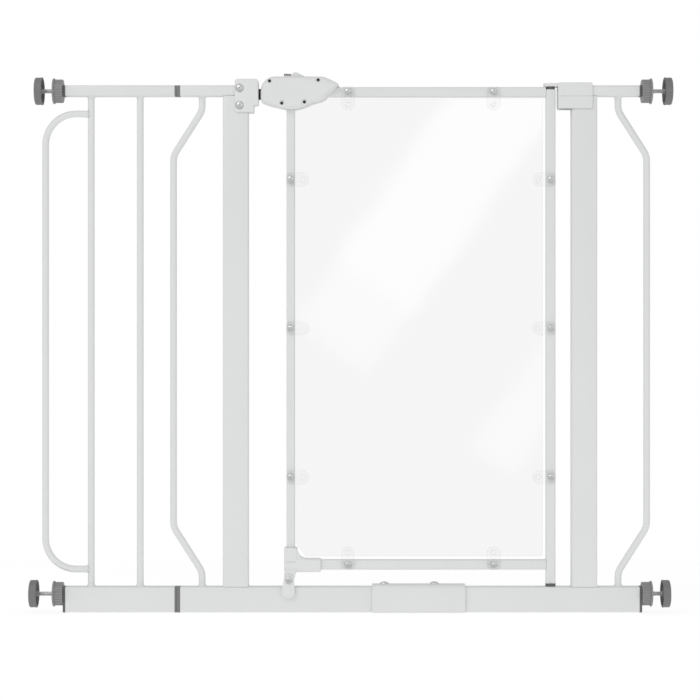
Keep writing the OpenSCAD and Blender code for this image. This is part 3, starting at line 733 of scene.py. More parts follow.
@dataclass
class Spindle:
    """One corner's threaded rod, knob and wall pad."""

    corner: str
    side: Side
    pitch: float = 1.27
    thread_share: float = 0.62
    thread_steps: int = 20
    ribs: int = 30
    groove: float = 0.95
    drum_r: float = 16.4
    drum_edge: float = 0.7
    edge_spread: float = 1.035
    lip_t: float = 2.4
    knob_bore: float = 3.3
    pad_wall: float = 2.6
    pad_floor: float = 4.0
    pad_boss: float = 6.0
    pad_bore: float = 3.15
    pad_rings: tuple[float, ...] = (15.0, 11.0, 7.0)

    def build(self) -> None:
        """Makes the three pieces."""
        self._rod()
        self._wheel()
        self._pad()

    def _outward(self) -> Triple:
        """The way out of the gate at this end."""
        return (self.side.value, 0.0, 0.0)

    def _rod(self) -> None:
        """The rod, with a real helical thread."""
        low, high = span(f"{self.corner}_rod")
        length, crest = high.x - low.x, (high.z - low.z) / 2
        root = crest - self.thread_share * self.pitch
        z = (low.z + high.z) / 2
        turns = int((length - 2.0) / self.pitch) - 1
        steps = self.thread_steps
        rod = Shape()
        profile = [(root, 0.0), (root, 0.1), (crest, 0.44), (crest, 0.56), (root, 0.9), (root, 1.0)]
        verts = [rod.bm.verts.new((r, 0.0, share * self.pitch)) for r, share in profile]
        edges = [rod.bm.edges.new(pair) for pair in zip(verts, verts[1:])]
        bmesh.ops.spin(rod.bm, geom=verts + edges, cent=(0, 0, 0), axis=(0, 0, 1),
                       dvec=(0, 0, self.pitch / steps), angle=2 * math.pi * turns, steps=turns * steps,
                       use_merge=False, use_duplicate=False)
        bmesh.ops.remove_doubles(rod.bm, verts=rod.bm.verts[:], dist=1e-3)
        bmesh.ops.translate(rod.bm, vec=(0, 0, 1.0), verts=rod.bm.verts[:])
        rod.outward()
        core = Shape().lathe([(0.0, 0.0), (root - 0.35, 0.0), (root + 0.02, 0.6), (root + 0.02, length - 0.6),
                              (root - 0.35, length), (0.0, length)], 32)
        rod.with_copy(core)
        inner = low.x if self.side is Side.RIGHT else high.x
        rod.facing(self._outward(), (inner, 0.0, z))
        rod.publish(f"{self.corner}_threaded_rod", Finish.ZINC, f"{self.corner}_spindle",
                    [f"{self.corner}_rod"], 50.0)

    def _wheel(self) -> None:
        """The knob: a ribbed drum with a lip on the pad's side and a dished face."""
        low, high = span(f"{self.corner}_wheel")
        z, depth = (low.z + high.z) / 2, high.x - low.x
        lip_r, bore = (high.z - low.z) / 2, self.knob_bore
        knob = Shape()
        count = self.ribs * 6
        rim: list[Triple] = []
        for i in range(count):
            a, r = 2 * math.pi * i / count, self.drum_r - (0.0 if i % 6 in (0, 1, 2) else self.groove)
            rim.append((r * math.cos(a) / self.edge_spread, r * math.sin(a) / self.edge_spread, 0.0))
        ring = knob.ring(rim)
        base = depth - self.lip_t
        for rise, spread in ((self.drum_edge, self.edge_spread), (base - self.drum_edge, 1.0)):
            ring, verts = knob.raised(ring)
            bmesh.ops.scale(knob.bm, vec=(spread, spread, 1), verts=verts)
            bmesh.ops.translate(knob.bm, vec=(0, 0, rise), verts=verts)
        bmesh.ops.edgeloop_fill(knob.bm, edges=ring)
        knob.outward()
        lip = [(bore, base - 0.4), (lip_r - 0.5, base), (lip_r, base + 0.5), (lip_r, depth - 0.6),
               (lip_r - 0.6, depth), (13.9, depth), (13.3, depth - 0.5), (13.0, depth - 2.6),
               (8.2, depth - 2.8), (7.6, depth - 2.4), (7.3, depth - 0.3), (7.0, depth), (bore, depth)]
        knob.with_copy(Shape().lathe(lip, 72, closed=True))
        inner = low.x if self.side is Side.RIGHT else high.x
        knob.facing(self._outward(), (inner, 0.0, z))
        knob.publish(f"{self.corner}_knob", Finish.GREY, f"{self.corner}_wheel",
                     [f"{self.corner}_wheel"], 28.0)

    def _pad(self) -> None:
        """The wall pad: a rubber cup with a rolled rim and ring grooves on its face."""
        low, high = span(f"{self.corner}_pad")
        z, depth, rim = (low.z + high.z) / 2, high.x - low.x, (high.z - low.z) / 2
        body, wall, floor, boss, bore = rim - 0.5, self.pad_wall, self.pad_floor, self.pad_boss, self.pad_bore
        profile = [(bore, 2.0), (boss - 0.5, 2.0), (boss, 2.5), (boss + 0.3, depth - floor - 0.8),
                   (boss + 1.1, depth - floor), (body - wall - 0.8, depth - floor),
                   (body - wall, depth - floor - 0.8), (body - wall + 0.2, 0.7), (body - wall + 0.8, 0.0),
                   (rim - 0.5, 0.0), (rim, 0.5), (rim, 1.2), (rim - 0.4, 1.7), (body, 2.2),
                   (body + 0.1, depth - 1.6), (body - 0.5, depth - 0.5), (body - 1.6, depth)]
        for ring in self.pad_rings:
            profile += [(ring + 0.7, depth), (ring + 0.4, depth - 0.6), (ring - 0.4, depth - 0.6),
                        (ring - 0.7, depth)]
        profile += [(0.0, depth), (0.0, depth - 1.5), (bore, depth - 1.5)]
        pad = Shape().lathe(profile, 72, closed=True)
        inner = low.x if self.side is Side.RIGHT else high.x
        pad.facing(self._outward(), (inner, 0.0, z))
        pad.publish(f"{self.corner}_wall_pad", Finish.RUBBER, f"{self.corner}_spindle",
                    [f"{self.corner}_pad"], 40.0)


# ---------- frame ----------


@dataclass
class RoundBar:
    """A round bar laid along straight lengths and bends in the XZ plane."""

    radius: float = BAR_R
    sides: int = 28

    def start(self, x: float, z: float, heading: float) -> "RoundBar":
        """Begins the bar.

        Args:
            x: where it begins, across.
            z: where it begins, up.
            heading: its direction, in degrees anticlockwise from +X.

        Returns:
            This bar.
        """
        self.shape = Shape()
        self.place, self.heading = Vector((x, 0.0, z)), heading
        turn = Vector((0, 0, 1)).rotation_difference(self._ahead()).to_matrix().to_4x4()
        made = bmesh.ops.create_circle(self.shape.bm, cap_ends=True, segments=self.sides, radius=self.radius,
                                       matrix=Matrix.Translation(self.place) @ turn)
        self.ring = list({e for v in made["verts"] for e in v.link_edges})
        return self

    def _ahead(self) -> Vector:
        """The direction of travel."""
        a = math.radians(self.heading)
        return Vector((math.cos(a), 0.0, math.sin(a)))

    def run(self, length: float) -> "RoundBar":
        """Goes straight on.

        Args:
            length: how far.

        Returns:
            This bar.
        """
        self.ring, verts = self.shape.raised(self.ring)
        bmesh.ops.translate(self.shape.bm, vec=self._ahead() * length, verts=verts)
        self.place += self._ahead() * length
        return self

    def bend(self, degrees: float, radius: float) -> "RoundBar":
        """Turns on an arc.

        Args:
            degrees: how far it turns, anticlockwise if positive.
            radius: the arc's radius at the bar's middle.

        Returns:
            This bar.
        """
        sign = 1.0 if degrees > 0 else -1.0
        a = math.radians(self.heading + 90 * sign)
        centre = self.place + Vector((math.cos(a), 0.0, math.sin(a))) * radius
        turned = bmesh.ops.spin(self.shape.bm, geom=self.ring + list({v for e in self.ring for v in e.verts}),
                                cent=centre, axis=(0, -1, 0), dvec=(0, 0, 0), angle=math.radians(degrees),
                                steps=max(6, int(abs(degrees) / 5)), use_merge=False, use_duplicate=False)
        self.ring = [g for g in turned["geom_last"] if isinstance(g, bmesh.types.BMEdge)]
        self.place = centre + Matrix.Rotation(-math.radians(degrees), 3, "Y") @ (self.place - centre)
        self.heading += degrees
        return self

    def done(self) -> Shape:
        """Closes the far end."""
        bmesh.ops.edgeloop_fill(self.shape.bm, edges=self.ring)
        return self.shape.outward()


@dataclass
class SideBars:
    """The round bars beside the doorway and on the extension, with their welds."""

    bow_angle: float = 32.5
    bow_bend_r: float = 26.0
    bow_knee: float = 20.0
    d_bend_r: float = 43.0
    bow_spare: float = 9.6
    d_spare: float = 0.1
    d_weld_at: float = 3.6
    bead: float = 2.3
    bead_rise: float = 3.105
    bead_power: float = 1.3
    bead_rough: float = 0.05
    seed: int = 7

    def build(self) -> None:
        """Makes the bars and the welds."""
        self._bowed("latch_side_bowed_bar", -1)
        self._bowed("hinge_side_bowed_bar", 1)
        self._d_bar()
        for node in ("extension_outer_bar", "extension_inner_bar"):
            low, high = span(node)
            bar = RoundBar().start((low.x + high.x) / 2, low.z, 90.0).run(high.z - low.z).done()
            bar.publish(f"{node}_round", Finish.POWDER, "frame", [node])
        self._welds()

    def _bowed(self, node: str, out: int) -> None:
        """One bowed bar.

        Args:
            node: the CAD node that it stands for.
            out: the side that it bows to, -1 for the left and 1 for the right.
        """
        low, high = span(node)
        foot = (high.x if out < 0 else low.x) + out * BAR_R
        bow = high.x - low.x - self.bow_spare
        tilt, back = self.bow_angle, self.bow_bend_r * math.tan(math.radians(self.bow_angle / 2))
        slant = bow / math.sin(math.radians(tilt))
        upright = high.z - low.z - 2 * self.bow_knee - 2 * bow / math.tan(math.radians(tilt))
        bar = RoundBar().start(foot, low.z, 90.0).run(self.bow_knee - back)
        bar.bend(-out * tilt, self.bow_bend_r).run(slant - 2 * back).bend(out * tilt, self.bow_bend_r)
        bar.run(upright - 2 * back)
        bar.bend(out * tilt, self.bow_bend_r).run(slant - 2 * back).bend(-out * tilt, self.bow_bend_r)
        bar.run(self.bow_knee - back)
        bar.done().publish(f"{node}_bent", Finish.POWDER, "frame", [node])

    def _d_bar(self) -> None:
        """The D-shaped bar at the extension's end."""
        low, high = span("extension_d_bar")
        bend = self.d_bend_r
        across = high.x - low.x - BAR_R - bend
        upright = high.z - low.z - 2 * BAR_R - 2 * bend
        bar = RoundBar().start(high.x, low.z + BAR_R + self.d_spare, 180.0).run(across)
        bar.bend(-90.0, bend).run(upright).bend(-90.0, bend).run(across)
        bar.done().publish("extension_d_bar_bent", Finish.POWDER, "frame", ["extension_d_bar"])

    def _bead(self) -> Shape:
        """A weld bead round a bar that stands on a flat face.

        Returns:
            The bead, with its bar along Z and the face at z = 0.
        """
        inner, under = BAR_R - 0.4, -0.3
        profile = [(inner, under), (BAR_R + self.bead, under)]
        for i in range(6):
            share = i / 5
            flare_r = BAR_R + self.bead * (1 - share) ** self.bead_power
            profile.append((flare_r, self.bead_rise * share + 0.05))
        profile.append((inner, self.bead_rise))
        bead = Shape().lathe(profile, 28, closed=True)
        rng = random.Random(self.seed)
        for vert in bead.bm.verts:
            vert.co += Vector([rng.uniform(-self.bead_rough, self.bead_rough) for _ in range(3)])
        return bead

    def _welds(self) -> None:
        """Weld beads where each bar meets a tube or another bar."""
        pattern, welds = self._bead(), Shape()
        feet = []
        for node, out in (("latch_side_bowed_bar", -1), ("hinge_side_bowed_bar", 1)):
            low, high = span(node)
            feet.append(((high.x if out < 0 else low.x) + out * BAR_R, low.z, high.z))
        for node in ("extension_outer_bar", "extension_inner_bar"):
            low, high = span(node)
            feet.append(((low.x + high.x) / 2, low.z, high.z))
        for x, z0, z1 in feet:
            welds.with_copy(pattern, Matrix.Translation((x, 0, z0)))
            welds.with_copy(pattern, Matrix.Translation((x, 0, z1)) @ Matrix.Rotation(math.pi, 4, "X"))
        low, high = span("extension_d_bar")
        for z in (low.z + BAR_R + self.d_spare, high.z - BAR_R - self.d_spare):
            quarter = Matrix.Rotation(math.radians(-90), 4, "Y")
            lean = Matrix.Translation((high.x - self.d_weld_at, 0, z)) @ quarter
            welds.with_copy(pattern, lean)
        welds.publish("bar_welds", Finish.POWDER, "frame", (), 60.0)


@dataclass
class Tube:
    """A steel tube of rounded rectangular section, drawn solid where its ends are covered."""

    node: str
    plane: Plane
    corner: float
    body: str = "frame"
    ends: float = 0.25

    def build(self) -> None:
        """Makes the tube."""
        low, high = span(self.node)
        if self.plane is Plane.SIDE:
            outline, a, b = rounded(low.y, high.y, low.z, high.z, self.corner), low.x, high.x
        else:
            outline, a, b = rounded(low.x, high.x, low.y, high.y, self.corner), low.z, high.z
        tube = Shape().prism(outline, self.plane, a, b)
        tube.soften(self.ends, 2, 60.0)
        tube.publish(f"{self.node}_tube", Finish.POWDER, self.body, [self.node])


@dataclass
class Coupler:
    """The saddle over the joint in the base rail, and its screws."""

    node: str = "base_coupler"
    wall: float = 3.0
    corner: float = 6.0
    head_r: float = 6.0

    def build(self) -> None:
        """Makes the saddle and the screws."""
        low, high = span(self.node)
        outer = rounded(low.y, high.y, -2 * self.corner, high.z, self.corner, 6)
        saddle = Shape().prism(outer, Plane.SIDE, low.x, high.x)
        inner = rounded(low.y + self.wall, high.y - self.wall, -20.0, high.z - self.wall,
                        self.corner - self.wall)
        saddle.merged(Shape().prism(inner, Plane.SIDE, low.x - 5, high.x + 5), Merge.CUT)
        saddle.merged(Shape().box((low.x - 5, low.y - 5, -30), (high.x + 5, high.y + 5, low.z)), Merge.CUT)
        saddle.soften(0.5, 2, 50.0)
        saddle.publish("base_coupler_saddle", Finish.POWDER, "frame", [self.node])
        low, high = span("coupler_screws")
        seat, head_r = span(self.node)[1].z, self.head_r
        screws = ScrewSet(PanScrew(head_r, high.z - seat, 2.5, 12.0))
        screws.down(low.x + head_r, 0.0, seat, 20.0).down(high.x - head_r, 0.0, seat, 65.0)
        screws.shape.publish("base_coupler_screws", Finish.ZINC, "frame", ["coupler_screws"])


@dataclass
class Joiner:
    """The dark plug between the extension and the main frame, with its ribbed band."""

    node: str
    plug_in: float = 1.6
    plug_r: float = 1.4
    band_r: float = 3.0
    ribs: tuple[tuple[float, float, float], ...] = ((-3.9, -1.7, 0.0), (-1.9, -1.1, 0.7), (-1.3, 3.9, 0.0))

    def build(self) -> None:
        """Makes the band and the plug inside the tubes."""
        low, high = span(self.node)
        mid = (low.x + high.x) / 2
        gap = self.plug_in
        core = rounded(low.y + gap, high.y - gap, low.z + gap, high.z - gap, self.plug_r)
        plug = Shape().prism(core, Plane.SIDE, low.x, high.x)
        for start, end, inset in self.ribs:
            ring = rounded(low.y + inset, high.y - inset, low.z + inset, high.z - inset, self.band_r - inset)
            part = Shape().prism(ring, Plane.SIDE, mid + start, mid + end)
            plug.with_copy(part.soften(0.2, 2, 60.0))
        plug.publish(f"{self.node}_band", Finish.BAND, "frame", [self.node])


@dataclass
class Keeper:
    """The white housing on the latch post that the tongue runs into."""

    corner: float = 4.0
    edge: float = 1.8
    step: float = 6.1
    step_h: float = 10.4
    step_r: float = 2.5
    pocket_gap: float = 0.8
    pocket_deep: float = 8.6
    screw_r: float = 5.0
    dimple_r: float = 6.1
    dimple_deep: float = 1.5

    def build(self) -> None:
        """Makes the housing and its screws."""
        low, high = span("keeper")
        foot = low.z + self.step_h
        outline = rounded(low.x, high.x, low.z, high.z, self.corner)
        body = Shape().prism(outline, Plane.FRONT, low.y, high.y)
        notch = rounded(high.x - self.step, high.x + 20, low.z - 20, foot, self.step_r)
        body.merged(Shape().prism(notch, Plane.FRONT, low.y - 5, high.y + 5), Merge.CUT)
        body.soften(self.edge, 4, 50.0)
        arm = span("latch_side_top_arm")
        channel = Shape().box((low.x - 10, arm[0].y - FIT, low.z - 10),
                              (span("latch_post")[1].x + FIT, arm[1].y + FIT, arm[1].z + FIT))
        body.merged(channel, Merge.CUT)
        tongue, gap = span("latch_tongue"), self.pocket_gap
        pocket = rounded(tongue[0].y - gap, tongue[1].y + gap, tongue[0].z - gap, tongue[1].z + gap, 1.0)
        body.merged(Shape().prism(pocket, Plane.SIDE, high.x - self.pocket_deep, high.x + 5), Merge.CUT)
        screws, r = span("keeper_screws"), self.screw_r
        x, seat = (screws[0].x + screws[1].x) / 2, low.y + self.dimple_deep
        heads = ScrewSet(PanScrew(r, 2.5, 2.0, 7.0))
        for z, turn in ((screws[0].z + r, 10.0), (screws[1].z - r, 50.0)):
            body.merged(Shape().disc(x, z, self.dimple_r, Plane.FRONT, low.y - 1.0, seat), Merge.CUT)
            heads.at(x, seat, z, turn)
        body.publish("keeper_housing", Finish.WHITE, "frame", ["keeper"])
        heads.shape.publish("keeper_cross_screws", Finish.ZINC, "frame", ["keeper_screws"])


@dataclass
class HingeBracket:
    """The folded cap on the hinge post, with the flange that holds the upper pin."""

    corner: float = 3.0
    edge: float = 1.2
    wall: float = 3.0
    flange_reach: float = 19.8
    flange_t: float = 4.5
    flange_r: float = 10.0

    def build(self) -> None:
        """Makes the bracket and the rivet over the upper pin."""
        low, high = span("hinge_bracket")
        arm = span("hinge_side_top_arm")
        pin = span("upper_hinge_pin")
        pin_x = (pin[0].x + pin[1].x) / 2
        left = low.x + self.flange_reach
        cap = Shape().prism(rounded(left, high.x, low.z, high.z, self.corner), Plane.FRONT, low.y, high.y)
        cap.soften(self.edge, 3, 50.0)
        cap.merged(Shape().box((left + self.wall, arm[0].y - FIT, low.z - 5),
                               (high.x + 5, arm[1].y + FIT, arm[1].z + FIT)), Merge.CUT)
        fold = Shape().box((low.x - 5, low.y - 2, arm[0].z - 1.0), (high.x + 5, low.y + 0.6, arm[0].z - 0.2))
        cap.merged(fold, Merge.CUT)
        top, r = pin[1].z, self.flange_r
        under = top - self.flange_t
        flange = Shape().box((pin_x, -r, under), (left + 2.5, r, top))
        flange.merged(Shape().disc(pin_x, 0.0, r, Plane.TOP, under, top), Merge.ADD)
        flange.soften(0.8, 3, 50.0)
        cap.merged(flange, Merge.ADD)
        cap.publish("hinge_bracket_cap", Finish.POWDER, "frame", ["hinge_bracket"])
        rivet = Shape().lathe([(0.0, 1.2), (2.2, 1.1), (3.6, 0.6), (4.1, 0.0), (3.5, -0.4), (3.5, -34.0),
                               (0.0, -34.0)], 32)
        rivet.facing((0, 0, 1), (pin_x, 0.0, top))
        rivet.publish("upper_hinge_rivet", Finish.ZINC, "frame", ["upper_hinge_pin"])


# ---------- door ----------


@dataclass
class PanelClips:
    """The clear clips that hold the panel, their screws and their studs."""

    half_w: float = 10.0
    outer: float = 7.0
    outer_r: float = 6.0
    end_at: float = 16.0
    thick: float = 3.5
    stud_at: float = 17.5
    seat_gap: float = 0.12
    pitch_z: float = 208.0
    pitch_x: float = 101.8
    head_sunk: float = 0.35
    seed: int = 3

    def _clip(self) -> Shape:
        """One clip.

        Returns:
            The clip, with its screw at the origin and its round end towards +X.
        """
        outline: list[Point2] = []
        for i in range(13):
            a = math.radians(-90 + 180 * i / 12)
            outline.append((self.end_at + self.half_w * math.cos(a), self.half_w * math.sin(a)))
        for z, first in ((self.half_w - self.outer_r, 90), (self.outer_r - self.half_w, 180)):
            for i in range(6):
                a = math.radians(first + 90 * i / 5)
                outline.append((self.outer_r - self.outer + self.outer_r * math.cos(a),
                                z + self.outer_r * math.sin(a)))
        clip = Shape().prism(outline, Plane.FRONT, -self.thick, -self.seat_gap)
        clip.soften(0.9, 3, 50.0)
        slot = rounded(self.stud_at - 6.5, self.stud_at + 5.5, -5.2, 5.2, 5.1, 8)
        clip.merged(Shape().prism(slot, Plane.FRONT, -self.thick - 1, -self.thick + 1.1), Merge.CUT)
        sink = Shape().disc(0.0, 0.0, 5.3, Plane.FRONT, -self.thick - 1, -self.thick + self.head_sunk)
        clip.merged(sink, Merge.CUT)
        step = Shape().box((7.4, -8.6, -self.thick - 1), (8.4, 8.6, -self.thick + 0.5))
        clip.merged(step, Merge.CUT)
        head = [(0.0, -2.2), (1.4, -2.1), (2.6, -1.6), (3.1, -0.9), (3.0, 0.0), (3.0, 4.4), (3.4, 4.9),
                (3.0, 5.5), (0.0, 5.9)]
        stud = Shape().lathe(head, 28).moved(Matrix.Rotation(math.radians(-90), 4, "X"))
        clip.with_copy(stud, Matrix.Translation((self.stud_at, -0.9, 0)))
        return clip

    def places(self) -> list[tuple[float, float, float]]:
        """Where the clips go.

        Returns:
            Each clip's screw as (x, z, turn), on the stiles first and then on the rails.
        """
        latch, hinge = span("latch_stile"), span("hinge_stile")
        top, bottom = span("door_top_rail"), span("door_bottom_rail")
        latch_x, hinge_x = (latch[0].x + latch[1].x) / 2, (hinge[0].x + hinge[1].x) / 2
        top_z, bottom_z = (top[0].z + top[1].z) / 2, (bottom[0].z + bottom[1].z) / 2
        mid_z, mid_x = (top_z + bottom_z) / 2, (latch_x + hinge_x) / 2
        found = [(latch_x, mid_z + self.pitch_z * i, 0.0) for i in (-1, 0, 1)]
        found += [(hinge_x, mid_z + self.pitch_z * i, 180.0) for i in (-1, 0, 1)]
        found += [(mid_x + self.pitch_x * i, top_z, 90.0) for i in (-1, 1)]
        found += [(mid_x + self.pitch_x * i, bottom_z, -90.0) for i in (-1, 1)]
        return found

    def build(self) -> None:
        """Makes all the clips and their screws."""
        face = span("latch_stile")[0].y
        pattern, clips = self._clip(), Shape()
        screws = ScrewSet(PanScrew(4.5, 2.6, 2.0, 8.5))
        rng = random.Random(self.seed)
        for x, z, turn in self.places():
            place = Matrix.Translation((x, face, z)) @ Matrix.Rotation(math.radians(turn), 4, "Y")
            clips.with_copy(pattern, place)
            screws.at(x, face - self.thick + self.head_sunk, z, rng.uniform(0, 90))
        clips.publish("panel_clip_set", Finish.CLIP, "door", ["panel_clips"])
        screws.shape.publish("clip_cross_screws", Finish.ZINC, "door", ["clip_screws"])


@dataclass
class CornerElbow:
    """The plastic elbow that joins the latch stile to the bottom rail, with the swing stop on its lug."""

    wall: float = 3.2
    corner: float = 3.0
    fillet: float = 12.0
    seam_drop: float = 4.4
    lug_r: float = 7.0

    def build(self) -> None:
        """Makes the elbow, the stop and the pivot screw."""
        low, high = span("corner_elbow")
        stile, rail = span("latch_stile"), span("door_bottom_rail")
        pivot = span("stop_screw")
        px, pz = (pivot[0].x + pivot[1].x) / 2, (pivot[0].z + pivot[1].z) / 2
        x0, x1 = stile[0].x - self.wall, stile[1].x + self.wall
        y0, y1 = stile[0].y - self.wall, stile[1].y + self.wall
        z0, z1 = rail[0].z - self.wall, rail[1].z + self.wall / 2
        seam = z1 - self.seam_drop
        body = Shape().prism(rounded(x0, x1, y0, y1, self.corner), Plane.TOP, z0, high.z)
        body.soften(1.2, 3, 60.0)
        arm = Shape().prism(rounded(y0, y1, z0, z1, self.corner), Plane.SIDE, x1 - 8, high.x)
        arm.soften(1.2, 3, 60.0)
        body.merged(arm, Merge.ADD)
        web = [(x1 - 3, z1 - 3), (x1 + self.fillet, z1 - 3), (x1 + self.fillet, z1)]
        for i in range(1, 9):
            a = math.radians(270 - 90 * i / 8)
            web.append((x1 + self.fillet * (1 + math.cos(a)), z1 + self.fillet * (1 + math.sin(a))))
        web.append((x1 - 3, z1 + self.fillet))
        body.merged(Shape().prism(web, Plane.FRONT, y0 + 1.4, y1 - 1.4), Merge.ADD)
        lug = [(x0 + 0.2, z0 + 4), (x0 + 0.2, pz)]
        for i in range(9):
            a = math.radians(180 + 180 * i / 8)
            lug.append((px + self.lug_r * math.cos(a), pz + self.lug_r * math.sin(a)))
        lug.append((x1 - 0.4, z0 + 4))
        body.merged(Shape().prism(lug, Plane.FRONT, low.y, y1 - 3).soften(0.8, 2, 50.0), Merge.ADD)
        groove = Shape().box((x0 - 2, y0 - 2, seam - 0.5), (x1 - 1.5, y0 + 0.8, seam + 0.5))
        body.merged(groove, Merge.CUT)
        sleeve = Shape().box((stile[0].x - FIT, stile[0].y - FIT, stile[0].z),
                             (stile[1].x + FIT, stile[1].y + FIT, high.z + 5))
        body.merged(sleeve, Merge.CUT)
        bore = Shape().box((rail[0].x, rail[0].y - FIT, rail[0].z - FIT),
                           (high.x + 5, rail[1].y + FIT, rail[1].z + FIT))
        body.merged(bore, Merge.CUT)
        body.publish("corner_elbow_moulding", Finish.WHITE, "door", ["corner_elbow"])
        self._stop(px, pz)

    def _stop(self, px: float, pz: float) -> None:
        """The swing stop and its pivot screw.

        Args:
            px: the pivot's place across.
            pz: the pivot's height.
        """
        low, high = span("swing_stop")
        foot_r = (high.x - low.x) / 2
        fx, fz = (low.x + high.x) / 2, low.z + foot_r
        eye_r = high.z - pz
        rise = math.asin((foot_r - eye_r) / math.hypot(px - fx, pz - fz))
        outline: list[Point2] = []
        for i in range(17):
            a = (math.pi + 2 * rise) * i / 16 - rise
            outline.append((px + eye_r * math.cos(a), pz + eye_r * math.sin(a)))
        for i in range(21):
            a = math.pi + rise + (math.pi - 2 * rise) * i / 20
            outline.append((fx + foot_r * math.cos(a), fz + foot_r * math.sin(a)))
        flap = Shape().prism(outline, Plane.FRONT, low.y, high.y)
        flap.soften(1.1, 3, 50.0)
        hollow = Shape().disc(fx, fz - 0.6, foot_r - 3.0, Plane.FRONT, low.y - 2, low.y + 0.5)
        flap.merged(hollow, Merge.CUT)
        flap.publish("swing_stop_flap", Finish.WHITE, "swing_stop", ["swing_stop"])
        screw = ScrewSet(PanScrew(5.0, 2.9, 2.5, 17.0))
        screw.at(px, span("stop_screw")[0].y + 3.0, pz, 30.0)
        screw.shape.publish("stop_cross_screw", Finish.ZINC, "door", ["stop_screw"])


